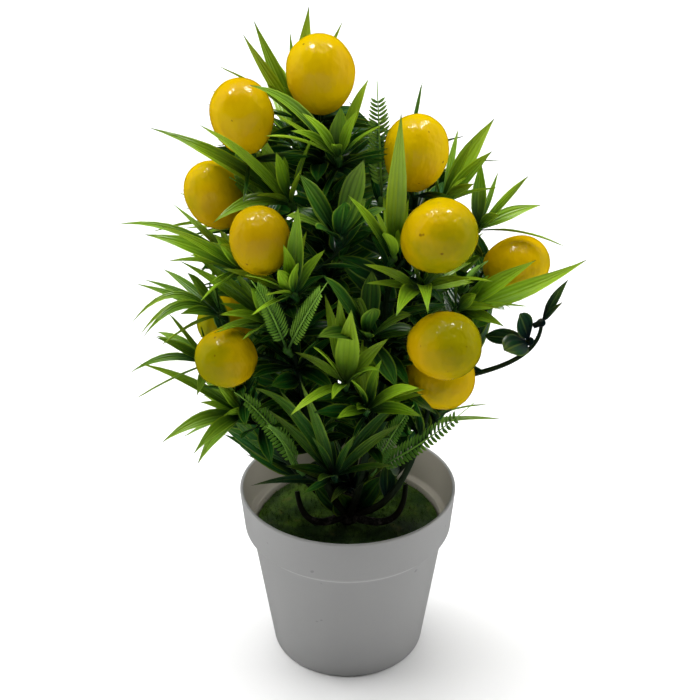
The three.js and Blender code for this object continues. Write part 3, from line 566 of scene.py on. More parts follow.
class Look:
    """The crown as an eye on one side of it sees it. The outline is on the upright plane through the tree's
    axis, and so is the grid that gaps are looked for on."""

    def __init__(self, azimuth, outline):
        turn = math.radians(azimuth)
        self.level = Vector((math.sin(turn), -math.cos(turn), 0))
        self.right = UP.cross(self.level)
        self.eye = EYE_AWAY * self.level + EYE_HEIGHT * UP
        self.outline = outline
        self.covered = set()

    def seen(self, place):
        """Where on the plane a place is seen."""
        share = EYE_AWAY / (EYE_AWAY - place.dot(self.level))
        spot = self.eye + (place - self.eye) * share
        return spot.dot(self.right), spot.z

    def inside(self, across, height, spare=0.0):
        """Whether a spot on the plane is in the outline, or less than spare outside it."""
        if not self.outline[0][0] <= height <= self.outline[-1][0] + spare:
            return False
        k = next((k for k, row in enumerate(self.outline) if row[0] >= height), len(self.outline) - 1)
        (z0, left0, right0), (z1, left1, right1) = self.outline[k - 1], self.outline[k]
        share = min(1, (height - z0) / (z1 - z0))
        return left0 + (left1 - left0) * share - spare <= across <= right0 + (right1 - right0) * share + spare

    def hides_lemon(self, arc):
        """Whether a leaf along the arc comes before a lemon."""
        for lemon in LEMONS:
            sight = Vector(lemon.at) - self.eye
            for t in SIGHT_SAMPLES:
                way = arc.at(t) - self.eye
                if way.length < sight.length and way.angle(sight) < lemon.wide / 2 / sight.length:
                    return True
        return False

    def cover(self, arc, face, half_width):
        """Marks the cells that a leaf covers."""
        for i in range(COVER_STEPS + 1):
            t = i / COVER_STEPS
            middle, _, side, _ = arc.lie(t, face)
            w = half_width * math.sin(math.pi * (0.1 + 0.8 * t))
            for share in COVER_ACROSS:
                across, height = self.seen(middle + side * (w * share))
                self.covered.add((math.floor(across / CELL), math.floor(height / CELL)))

    def gaps(self, trees):
        """The cells in the outline that nothing in the trees covers, each with its place on the plane."""
        low, high = self.outline[0][0], self.outline[-1][0]
        wide = max(max(-left, right) for _, left, right in self.outline)
        for j in range(int(low // CELL), int(high // CELL)):
            for i in range(int(-wide // CELL), int(wide // CELL)):
                across, height = (i + 0.5) * CELL, (j + 0.5) * CELL
                if not self.inside(across, height):
                    continue
                place = across * self.right + height * UP
                if not any(tree.ray_cast(self.eye, place - self.eye)[0] for tree in trees):
                    yield (i, j), place


# ---- Meshes ----


def smooth_share(stations, t):
    """The width's share at t, on a smooth line through the stations that closes to nothing at the tip."""
    knots = [*stations, (1.0, 0.0)]
    k = max(i for i, (at, _) in enumerate(knots[:-1]) if at <= t)
    (t0, w0), (t1, w1) = knots[k], knots[k + 1]
    before = knots[k - 1] if k else (t0 - 0.2, w0 * 0.6)
    after = knots[k + 2] if k + 2 < len(knots) else (1.1, 0.0)
    span = t1 - t0
    start = span * (w1 - before[1]) / (t1 - before[0])
    end = span * (after[1] - w0) / (after[0] - t0)
    s = (t - t0) / span
    share = (2 * s**3 - 3 * s**2 + 1) * w0 + (s**3 - 2 * s**2 + s) * start + (3 * s**2 - 2 * s**3) * w1
    return max(0.02, share + (s**3 - s**2) * end)


def put(name, data):
    """A new object in the scene."""
    thing = bpy.data.objects.new(name, data)
    bpy.context.scene.collection.objects.link(thing)
    return thing


class Draft:
    """The corners and faces of a piece while it is made, in millimetres, with the marks its finish reads:
    how far along and across its leaf or limb each corner is, and that leaf's own tone."""

    def __init__(self):
        self.points, self.faces, self.marks = [], [], []

    def corner(self, place, along=0.0, across=0.0, tone=0.5):
        self.points.append(Vector(place))
        self.marks.append((along, across, tone))
        return len(self.points) - 1

    def face(self, *corners):
        self.faces.append(corners)

    def rings(self, rings, closed=True):
        """Walls between rings of corners, each with the same count or with one corner, a pole."""
        for low, high in zip(rings, rings[1:]):
            sides = max(len(low), len(high))
            for j in range(sides if closed else sides - 1):
                k = (j + 1) % sides
                if len(low) == 1:
                    self.face(low[0], high[k], high[j])
                elif len(high) == 1:
                    self.face(low[j], low[k], high[0])
                else:
                    self.face(low[j], low[k], high[k], high[j])

    def tube(self, arc, radius, sides, steps, tone=0.5, flare=0.0):
        """A round tapering tube along an arc, closed at both ends, flared where it leaves its limb."""
        normal = arc.along(0).orthogonal().normalized()
        rings = []
        for i in range(steps + 1):
            t = i / steps
            forward = arc.along(t)
            normal = (normal - forward * normal.dot(forward)).normalized()
            other = forward.cross(normal)
            r = radius[0] + (radius[1] - radius[0]) * t + flare * math.exp(-14 * t)
            ring = []
            for a in all_round(sides):
                out = math.cos(a) * normal + math.sin(a) * other
                ring.append(self.corner(arc.at(t) + r * out, t, a, tone))
            rings.append(ring)
        self.rings(rings)
        self.face(*reversed(rings[0]))
        self.face(*rings[-1])

    def turned(self, profile, sides, place=Vector(), axis=UP, tone=0.5, ripple=0.0, span=1.0):
        """A solid of revolution round an axis, from a profile of radius and height that starts and ends on
        it. ripple is how uneven it is, and span the along mark at the profile's end."""
        turn = UP.rotation_difference(axis)
        rings = []
        for i, (r, z) in enumerate(profile):
            along = span * i / (len(profile) - 1)
            if r == 0:
                rings.append([self.corner(place + turn @ Vector((0, 0, z)), along, 0, tone)])
                continue
            ring = []
            for j, a in enumerate(all_round(sides)):
                out = Vector((math.cos(a), math.sin(a), 0))
                wide = r + ripple * noise.noise(Vector((out.x, out.y, z * 0.05)) * 1.7 + place * 0.13)
                spot = place + turn @ (out * wide + Vector((0, 0, z)))
                ring.append(self.corner(spot, along, j / sides, tone))
            rings.append(ring)
        self.rings(rings)

    def leaf(self, arc, face, shape, width, tone, rows=9):
        """A thin arched leaf folded along its rib, its margins a little waved."""
        tops, unders = [], []
        for i in range(rows):
            t = (i / rows) ** 0.9
            middle, _, side, up = arc.lie(t, face)
            w = shape.wide * width * smooth_share(shape.stations, t)
            top, under = [], []
            for s in LEAF_COLUMNS:
                wave = 0.16 * w * math.sin(9 * t + 5 * tone + 2 * s) * abs(s)
                place = middle + side * (s * w) + up * (shape.fold * w * abs(s) ** 1.35 - 0.1 + 0.35 * wave)
                top.append(self.corner(place, t, s, tone))
                if abs(s) < 1:
                    under.append(self.corner(place - up * LEAF_THICKNESS * (1 - 0.45 * abs(s)), t, s, tone))
            tops.append(top)
            unders.append([top[0], *under, top[-1]])
        tip = self.corner(arc.at(1), 1, 0, tone)
        self.rings([*tops, [tip]], closed=False)
        self.rings([*(row[::-1] for row in unders), [tip]], closed=False)
        self.face(*unders[0][1:-1], *reversed(tops[0]))

    def frond(self, arc, face, pairs, tone):
        """A fern frond: a rib with pairs of narrow pointed leaflets and a bare tip."""
        self.tube(arc, (0.75, 0.22), 6, 14, tone)
        foot, tail = FROND_BARE
        pitch = (tail - foot) / pairs
        for i in range(pairs):
            t = foot + pitch * (i + 0.4)
            middle, forward, side, up = arc.lie(t, face)
            reach = FROND_HALF_WIDTH * (0.6 + min(0.4, 1.6 * t)) * (1 - t**3) ** 0.8
            shape = LeafShape(LEAFLET, 0.16, 0.35 * pitch * arc.length())
            for hand in (-1, 1):
                out = (side * hand + forward * 0.3).normalized()
                end = middle + reach * (side * hand + 0.75 * forward) + 0.1 * reach * up
                bend = middle + reach * (0.56 * side * hand + 0.26 * forward + 0.05 * up)
                self.leaf(Arc(middle + 0.3 * out, bend, end), up, shape, 1, tone, rows=4)

    def knob(self, place, heading, tone):
        """The knob of a spray, with the sleeve that it is pushed on its twig by."""
        sleeve = [(0, -4.4), (1.3, -4.4), (1.5, -4.1), (1.6, -2)]
        bulb = [(2.2, -0.6), (2.3, 0.6), (1.7, 1.8), (0.8, 2.3), (0, 2.4)]
        # The along marks stop at 0.25, so the knob takes its leaf finish's painted shade at the root and the
        # spray's middle is dark.
        self.turned(sleeve + bulb, 12, place, heading, tone, span=0.25)

    def piece(self, name, finish, slot, replaced=(), sharp=48):
        """Makes the object, in metres, smooth but for edges sharper than an angle in degrees."""
        mesh = bpy.data.meshes.new(name)
        mesh.from_pydata([p * MM for p in self.points], [], self.faces)
        for k, mark in enumerate(("along", "across", "tone")):
            layer = mesh.attributes.new(mark, "FLOAT", "POINT")
            layer.data.foreach_set("value", [marks[k] for marks in self.marks])
        mesh.polygons.foreach_set("use_smooth", [True] * len(mesh.polygons))
        mesh.set_sharp_from_angle(angle=math.radians(sharp))
        mesh.materials.append(finish)
        thing = put(name, mesh)
        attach(thing, "root")
        if replaced:
            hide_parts(*replaced)


# ---- Finishes ----


class Wire:
    """A value in a finish's node tree, worked with like a number."""

    def __init__(self, finish, socket):
        self.finish, self.socket = finish, socket

    def math(self, operation, *values):
        return self.finish.wire("ShaderNodeMath", {"operation": operation}, dict(enumerate(values)))

    def __add__(self, other):
        return self.math("ADD", self, other)

    def __sub__(self, other):
        return self.math("SUBTRACT", self, other)

    def __rsub__(self, other):
        return self.math("SUBTRACT", other, self)

    def __mul__(self, other):
        return self.math("MULTIPLY", self, other)

    def __pow__(self, other):
        return self.math("POWER", self, other)

    __radd__, __rmul__ = __add__, __mul__

    def sine(self):
        return self.math("SINE", self)

    def size(self):
        return self.math("ABSOLUTE", self)

    def rise(self, low, high):
        """0 below low, 1 above high, and smooth between them."""
        inputs = {"Value": self, "From Min": low, "From Max": high}
        return self.finish.wire("ShaderNodeMapRange", {"interpolation_type": "SMOOTHSTEP"}, inputs)


class Finish:
    """A material and the nodes that vary it over a surface."""

    def __init__(self, name):
        self.material = bpy.data.materials.new(name)
        self.material.use_nodes = True
        self.tree = self.material.node_tree
        self.shader = self.tree.nodes["Principled BSDF"]

    def node(self, kind, settings=None, inputs=None):
        made = self.tree.nodes.new(kind)
        for key, value in (settings or {}).items():
            setattr(made, key, value)
        self.feed(made, inputs or {})
        return made

    def feed(self, node, inputs):
        """Links or sets a node's sockets. A colour is given as red, green and blue."""
        for key, value in inputs.items():
            socket = node.inputs[key]
            if isinstance(value, Wire):
                self.tree.links.new(value.socket, socket)
            else:
                socket.default_value = (*value, 1) if socket.type == "RGBA" else value

    def wire(self, kind, settings=None, inputs=None, output=0):
        return Wire(self, self.node(kind, settings, inputs).outputs[output])

    def mark(self, name):
        return self.wire("ShaderNodeAttribute", {"attribute_name": name}, output="Fac")

    def place(self, axis=None):
        """Where on the tree a point is, in metres, or how far along x, y or z."""
        place = self.wire("ShaderNodeTexCoord", output="Object")
        return self.wire("ShaderNodeSeparateXYZ", None, {"Vector": place}, axis) if axis else place

    def noise(self, scale, detail=3, rough=0.5, stretch=None):
        place = self.place()
        if stretch:
            place = self.wire("ShaderNodeVectorMath", {"operation": "MULTIPLY"}, {0: place, 1: stretch})
        inputs = {"Vector": place, "Scale": scale, "Detail": detail, "Roughness": rough}
        return self.wire("ShaderNodeTexNoise", None, inputs)

    def blend(self, first, second, share):
        """The first colour moved towards the second. Sockets 6 and 7 of the Mix node are its colours."""
        settings = {"data_type": "RGBA", "clamp_factor": True}
        return self.wire("ShaderNodeMix", settings, {0: share, 6: first, 7: second}, 2)

    def bump(self, height, distance, strength):
        inputs = {"Height": height, "Distance": distance, "Strength": strength}
        return self.wire("ShaderNodeBump", None, inputs)

    def surface(self, **inputs):
        self.feed(self.shader, {key.replace("_", " "): value for key, value in inputs.items()})
        return self.material


def shade(colour, share):
    """A colour made darker or lighter."""
    return tuple(min(1.0, c * share) for c in colour)


def tint(colour, other, share):
    """A colour moved towards another."""
    return tuple(a + (b - a) * share for a, b in zip(colour, other))


def leaf_finish(name, body, edge, groove_shade):
    """Moulded leaf plastic: painted shade makes it almost black at the root and darkens the grooves of its fine
    parallel ribs, and painted light makes it yellower towards the tip. It has a paler keel and margin and a dark
    pin tip. The last two arguments are how much the margin and the painted shade in the grooves show."""
    finish = Finish(name)
    along, across, tone = finish.mark("along"), finish.mark("across"), finish.mark("tone")
    out = across.size()
    cloud = finish.noise(60, 3, 0.6)
    yellow = tint(shade(body, 1.3), (0.46, 0.56, 0.03), 0.36)
    # dark: the colour of the painted shade at the root and in the grooves, and of the leaf's own dark pin tip
    dark = (body[0] * 0.05, body[1] * 0.15, body[2] * 0.5 + 0.002)
    # Painted light: yellower towards the tip; the yellow clouds and each leaf's tone are its own
    lit = finish.blend(body, yellow, (cloud * 1.1 + tone * 0.8 + along * 0.9 - 1.22).rise(0, 1))
    # Painted shade: almost black at the root, where the leaves crowd into the spray's middle
    root_shaded = finish.blend(dark, lit, (along * 1.1 + cloud * 0.4 + tone * 0.4 - 0.36).rise(0, 0.72))
    # Painted shade in the grooves between the ribs
    groove_shade_mask = (((across * RIBS).sine() * 0.5 + 0.5) ** 2) * (1 - out.rise(0.8, 1.0))
    groove_shaded = finish.blend(root_shaded, dark, groove_shade_mask * (groove_shade * cloud))
    keeled = finish.blend(groove_shaded, yellow, (1 - out.rise(0.02, 0.12)) * along.rise(0.1, 0.5) * 0.35)
    edged = finish.blend(keeled, yellow, out.rise(0.8, 0.95) * along.rise(0.08, 0.35) * edge)
    tipped = finish.blend(edged, dark, along.rise(0.92, 0.99) * 0.8)
    height = (across * RIBS).sine() * -0.5 + out.rise(0, 0.16) * 1.2 + finish.noise(900, 2) * 0.3
    return finish.surface(
        Base_Color=tipped, Roughness=0.24 + 0.2 * cloud, Normal=finish.bump(height, 0.0002, 0.7),
        Specular_IOR_Level=0.5,
    )


def frond_finish(body):
    """Frond plastic: painted shade by the rib, pale margins, and painted light towards the top of the tree."""
    finish = Finish("fern_plastic")
    along, across, tone = finish.mark("along"), finish.mark("across"), finish.mark("tone")
    cloud = finish.noise(70, 3, 0.6)
    pale = tint(shade(body, 2.2), (0.4, 0.5, 0.06), 0.35)
    dark = shade(body, 0.25)
    # Painted light: the fronds get lighter towards the top of the tree.
    height = finish.place("Z").rise(0.12, 0.3)
    lightness = cloud * 0.9 + tone * 0.4 + along * 0.4 + height * 0.3 - 0.6
    lit = finish.blend(body, pale, lightness.rise(0, 0.8))
    # Painted shade: dark where the leaflets meet the rib.
    root_shaded = finish.blend(dark, lit, (along + 0.1).rise(0, 0.45))
    edged = finish.blend(root_shaded, pale, across.size().rise(0.7, 0.95) * along.rise(0.1, 0.4) * 0.5)
    return finish.surface(
        Base_Color=edged, Roughness=0.4 + 0.15 * cloud, Normal=finish.bump(cloud, 0.0002, 0.5),
    )


def lemon_finish(settings):
    """Glossy lemon plastic: mottled with green on a cheek, warmer in clouds, with soft dents and brown specks.
    Painted shade makes it warmer and darker near the stalk, and darker still on the lemons that the crown
    shades."""
    finish = Finish("lemon_plastic")
    greenness, along = finish.mark("tone"), finish.mark("along")
    cloud = finish.noise(48, 3, 0.55)
    other = finish.noise(26, 2, 0.5, stretch=(1, 0.7, 1.3))
    # Painted shade: warmer and darker towards the stalk end, the lemons' lower side; the warm clouds are their
    # own.
    warmth = (other * 1.2 + (1 - along) * 0.5 - 0.4).rise(0.1, 0.8)
    warm = finish.blend(tuple(settings.ripe), tuple(settings.warm), warmth)
    cheek = finish.blend(warm, tuple(settings.green), (greenness * 1.05 + cloud * 1.3 - 0.82).rise(0, 0.75))
    speck = finish.noise(230, 1, 0.4).rise(0.75, 0.8)
    # Painted shade: olive brown over the lemons that the crown shades.
    with_painted_shade = finish.blend(cheek, (0.22, 0.16, 0), finish.mark("across"))
    spotted = finish.blend(with_painted_shade, (0.13, 0.05, 0.002), speck * 0.75)
    height = finish.noise(75, 2, 0.5) + finish.noise(190, 2, 0.5, stretch=(1, 1, 0.6)) * 0.7
    return finish.surface(
        Base_Color=spotted, Roughness=0.13 + 0.1 * other, Normal=finish.bump(height, 0.0018, 0.8),
        Specular_IOR_Level=0.28,
    )


def pot_finish(settings):
    """Injection-moulded plastic, faintly clouded, scuffed near the foot, with painted light that makes it
    lighter and warmer inside, a painted highlight line under the collar and a painted shadow line above it."""
    finish = Finish("pot_plastic")
    base = tuple(settings.plastic)
    cloud = finish.noise(9, 4, 0.55)
    height = finish.place("Z")
    inside = finish.mark("along").rise(0.49, 0.53)
    scuff = finish.noise(60, 5, 0.7, stretch=(1, 1, 6)).rise(0.62, 0.8) * (1 - height.rise(0.004, 0.05))
    speck = finish.noise(170, 1, 0.4).rise(0.77, 0.8) * 0.5
    clouded = finish.blend(shade(base, 0.94), shade(base, 1.04), cloud)
    # Painted light: the lighter, warmer inside stands in for the warm light inside the pot.
    dust_and_inside_light = finish.blend(clouded, tuple(settings.inside), inside * (0.75 + 0.25 * cloud))
    worn = finish.blend(dust_and_inside_light, shade(base, 0.5), scuff * 0.3 + speck)
    # Painted shadow: a dark line just above the painted highlight under the collar.
    away = (height - PAINTED_LINE_HEIGHT - 0.0015).size().rise(0.0001, 0.001)
    above = finish.blend(worn, shade(base, 0.82), (1 - away) * (1 - inside))
    # Painted highlight: a bright line under the collar, where the moulding's edge would catch the light.
    away = (height - PAINTED_LINE_HEIGHT).size().rise(0.0002, 0.0008)
    painted_highlight_line = finish.blend(above, shade(base, 1.4), (1 - away) * (1 - inside))
    grain = finish.noise(1400, 2, 0.6) * 0.5 + cloud * 2
    return finish.surface(
        Base_Color=painted_highlight_line, Roughness=0.44 + 0.14 * cloud + scuff * 0.2,
        Normal=finish.bump(grain, 0.00025, 0.35), Specular_IOR_Level=0.45,
    )


def stem_finish():
    """Dark moulded plastic over wire, browner and dustier towards the foot."""
    finish = Finish("stem_plastic")
    cloud = finish.noise(120, 4, 0.6, stretch=(1, 1, 0.35))
    height = finish.place("Z")
    green = finish.blend((0.003, 0.011, 0.003), (0.012, 0.04, 0.009), cloud)
    brown = finish.blend((0.004, 0.004, 0.003), (0.018, 0.016, 0.012), cloud)
    mixed = finish.blend(brown, green, height.rise(0.09, 0.15))
    dust = finish.blend((0.008, 0.007, 0.006), (0.12, 0.11, 0.1), finish.noise(260, 3, 0.7).rise(0.45, 0.75))
    dust_and_inside_light = finish.blend(dust, mixed, height.rise(0.089, 0.094))
    return finish.surface(
        Base_Color=dust_and_inside_light, Roughness=0.36 + 0.3 * cloud, Normal=finish.bump(cloud, 0.0006, 0.6),
        Specular_IOR_Level=0.25,
    )


def moss_finish(settings):
    """Moss pile: dark patches, lighter tips, painted shade at the front of the pot, and dried here and there."""
    finish = Finish("moss_pile")
    along = finish.mark("along")
    patch = finish.noise(60, 4, 0.65)
    # Painted shade: the moss is darker at the front, under the crown.
    share = patch * 1.7 - 0.85 + along * 0.4 + finish.place("Y").rise(-0.035, 0.01) * 0.35
    base = finish.blend(tuple(settings.moss_dark), tuple(settings.moss_light), share.rise(0, 1))
    dried = finish.blend(base, (0.12, 0.11, 0.02), finish.noise(130, 2).rise(0.6, 0.72) * 0.4)
    pile = finish.noise(900, 4, 0.7)
    return finish.surface(Base_Color=dried, Roughness=0.85, Normal=finish.bump(pile, 0.0012, 0.8))


def filler_finish():
    """Cast cement, clouded and pitted."""
    finish = Finish("cast_filler")
    cloud = finish.noise(80, 6, 0.65)
    pits = finish.noise(420, 2, 0.5).rise(0.62, 0.72)
    stone = finish.blend((0.2, 0.19, 0.175), (0.38, 0.37, 0.345), cloud)
    pitted = finish.blend(stone, (0.1, 0.1, 0.09), pits * 0.7)
    return finish.surface(
        Base_Color=pitted, Roughness=0.8 + 0.15 * cloud, Normal=finish.bump(cloud - pits, 0.0008, 0.7),
    )


def floor_finish():
    finish = Finish("floor_paper")
    cloud = finish.noise(4, 2)
    tone = finish.blend((0.83, 0.83, 0.827), (0.85, 0.85, 0.847), cloud)
    return finish.surface(Base_Color=tone, Roughness=0.8)


def leaf_finishes(settings):
    """The finishes of the leaves and fronds by name: of each leaf's its body, its margin and its grooves'
    painted shade.
    """
    bright, deep = tuple(settings.bright), tuple(settings.deep)
    leaves = {
        "bright": (bright, 0.8, 0.3),
        "deep": (deep, 0.9, 1.1),
        "dusk": (tuple(settings.dusk), 0.3, 0.8),
        "mid": (tint(deep, bright, 0.55), 0.8, 0.5),
        # Painted shade: a darker copy of the deep leaves, for the leaves inside the crown and up the limbs.
        "inner": ((deep[0] * 0.3, deep[1] * 0.7, deep[2] * 0.6), 0.8, 0.8),
    }
    made = {name: leaf_finish(f"{name}_plastic", *leaf) for name, leaf in leaves.items()}
    return {**made, "fern": frond_finish(tuple(settings.fern))}


# ---- Pieces ----


def inner_radius(z):
    """The pot's radius inside at a height."""
    share = z / (POT_HEIGHT - COLLAR_HEIGHT - SHOULDER_HEIGHT)
    return BASE_RADIUS + (BODY_TOP_RADIUS - BASE_RADIUS) * share - WALL


def rounded(corner, before, after, radius, steps=4):
    """Points that round a corner of a profile by a curve of about the given radius."""
    corner, before, after = Vector(corner), Vector(before), Vector(after)
    start = corner + (before - corner).normalized() * radius
    end = corner + (after - corner).normalized() * radius
    bend = Arc(start, corner, end)
    return [tuple(bend.at(i / steps)) for i in range(steps + 1)]


def pot_profile():
    """The pot's section: out under the foot, up the wall and the collar, over the lip and down inside."""
    foot, lip = 1.8, 1.2
    collar_foot = POT_HEIGHT - COLLAR_HEIGHT
    ledge = collar_foot + LEDGE_RISE
    corners = [
        ((BASE_RADIUS - foot * 0.4, 0), 1.6),
        ((BODY_TOP_RADIUS, collar_foot - SHOULDER_HEIGHT), 2.2),
        ((COLLAR_FOOT_RADIUS, collar_foot), 1.4),
        ((RIM_RADIUS, POT_HEIGHT), lip * 0.8),
        ((RIM_RADIUS - WALL, POT_HEIGHT), lip * 0.6),
        ((COLLAR_FOOT_RADIUS - WALL, ledge + 1), 1.2),
        ((BODY_TOP_RADIUS - WALL + 0.4, ledge), 0.8),
        ((inner_radius(collar_foot - SHOULDER_HEIGHT), collar_foot - SHOULDER_HEIGHT), 1.2),
        ((inner_radius(FLOOR_THICKNESS), FLOOR_THICKNESS), 1.5),
    ]
    places = [(0, 0), *(place for place, _ in corners), (0, FLOOR_THICKNESS)]
    profile = [(0, 0)]
    for k, (place, radius) in enumerate(corners):
        profile += rounded(place, places[k], places[k + 2], radius)
    return [*profile, (0, FLOOR_THICKNESS)]


def make_pot(settings):
    draft = Draft()
    draft.turned(pot_profile(), POT_SIDES)
    draft.piece("moulded_pot", pot_finish(settings), "pot", ["pot"], sharp=60)


def moss_height(x, y):
    """The moss's surface: the solid's cushions, with finer lumps on them."""
    r, angle = math.hypot(x, y), math.atan2(y, x)
    ring = 4 * r / MOSS_RADIUS - 1
    cushion = math.sin(5 * angle + 2.1 * ring) * math.cos(3 * angle - 1.7 * ring)
    lumps = noise.fractal(Vector((x, y, 3.3)) * 0.16, 0.7, 2.1, 4)
    return MOSS_TOP - 0.6 * (r / MOSS_RADIUS) ** 6 + 0.7 * cushion * min(1, r / 14) + 0.9 * lumps


def make_moss(settings):
    """A mat with a lumpy surface, and short tufts standing out of it."""
    draft = Draft()
    sides, rings = 96, 26
    surface = []
    for i in range(1, rings + 1):
        r = MOSS_RADIUS * i / rings
        ring = []
        for a in all_round(sides):
            x, y = r * math.cos(a), r * math.sin(a)
            ring.append(draft.corner((x, y, moss_height(x, y)), 0.2, 0, 0.5))
        surface.append(ring)
    middle = draft.corner((0, 0, moss_height(0, 0)))
    for j in range(sides):
        draft.face(middle, surface[0][j], surface[0][(j + 1) % sides])
    edge_low = [draft.corner((*draft.points[k].xy, MOSS_TOP - 4)) for k in surface[-1]]
    draft.rings([*(ring[::-1] for ring in surface), edge_low[::-1]])
    draft.face(*reversed(edge_low))
    draws = series(MOSS_SEED)
    for _ in range(settings.tufts):
        r, a = (MOSS_RADIUS - 1.5) * math.sqrt(next(draws)), 2 * math.pi * next(draws)
        if r < 9:
            continue
        x, y = r * math.cos(a), r * math.sin(a)
        foot = Vector((x, y, moss_height(x, y) - 0.4))
        tall, spin = 1.3 + 1.7 * next(draws), 2 * math.pi * next(draws)
        for blade in range(3):
            way = spin + blade * 2.2
            lean = Vector((math.cos(way), math.sin(way), 0))
            side = 0.34 * lean.cross(UP)
            left, right, rear = (draft.corner(p) for p in (foot - side, foot + side, foot + lean * 0.12))
            tip = draft.corner(foot + lean * 0.85 * tall + UP * tall, 1)
            for corners in ((left, right, tip), (right, rear, tip), (rear, left, tip), (left, rear, right)):
                draft.face(*corners)
    draft.piece("moss_mat", moss_finish(settings), "moss", ["moss"], sharp=70)


def egg_radius(share):
    """A lemon's radius at a share of its length, as a share of half its width."""
    return math.sqrt(max(0.0, 4 * share * (1 - share))) * (0.93 + 0.14 * share)


def make_lemon(i, lemon, finish):
    """An egg-shaped lemon with soft dents. Its tone is how green each place is, and across its painted shade."""
    profile = []
    for k in range(LEMON_ROWS + 1):
        share = (1 - math.cos(math.pi * k / LEMON_ROWS)) / 2
        radius = lemon.wide / 2 * egg_radius(share) if 0 < k < LEMON_ROWS else 0
        profile.append((radius, lemon.long * (share - 0.5)))
    middle, cheek = Vector(lemon.at), Vector(lemon.cheek).normalized()
    draft = Draft()
    draft.turned(profile, LEMON_SIDES, middle, Vector(lemon.points).normalized(), ripple=LEMON_DENTS)
    for k, place in enumerate(draft.points):
        facing = max(0, (place - middle).normalized().dot(cheek))
        draft.marks[k] = (draft.marks[k][0], lemon.painted_shade, lemon.green * (0.3 + 0.7 * facing))
    draft.piece(f"lemon_fruit_{i + 1}", finish, "lemon", [f"lemon_{i + 1}"])


def make_stem():
    """The stem: foot, knob, limbs, prongs and twigs."""
    draft = Draft()
    peg = [(0, STEM_FOOT), (4.4, STEM_FOOT), (5.3, MOSS_TOP - 2), (6.8, MOSS_TOP + 1)]
    knob = [(7.6, MOSS_TOP + 3.5), (7.1, MOSS_TOP + 6), (5.9, KNOB_TOP - 6), (5, KNOB_TOP - 1.5)]
    draft.turned([*peg, *knob, (3.6, KNOB_TOP), (0, KNOB_TOP + 0.3)], 28, ripple=0.9)
    for limb in LIMBS:
        draft.tube(limb_arc(limb), limb.radius, 10, 26, flare=0.5)
    for prong in PRONGS:
        draft.tube(Arc(*prong), PRONG_RADIUS, 12, 20, flare=0.4)
    for arc in twig_arcs():
        draft.tube(arc, TWIG_RADIUS, 8, 12, flare=0.7)
    draft.piece("moulded_stem", stem_finish(), "stem", ["stem"])


def found_arc(corners, arcs):
    """The first of the arcs whose end is a corner of the solid."""
    for arc in arcs:
        if any((corner - arc.end).length < SAME_PLACE for corner in corners):
            return arc
    return None


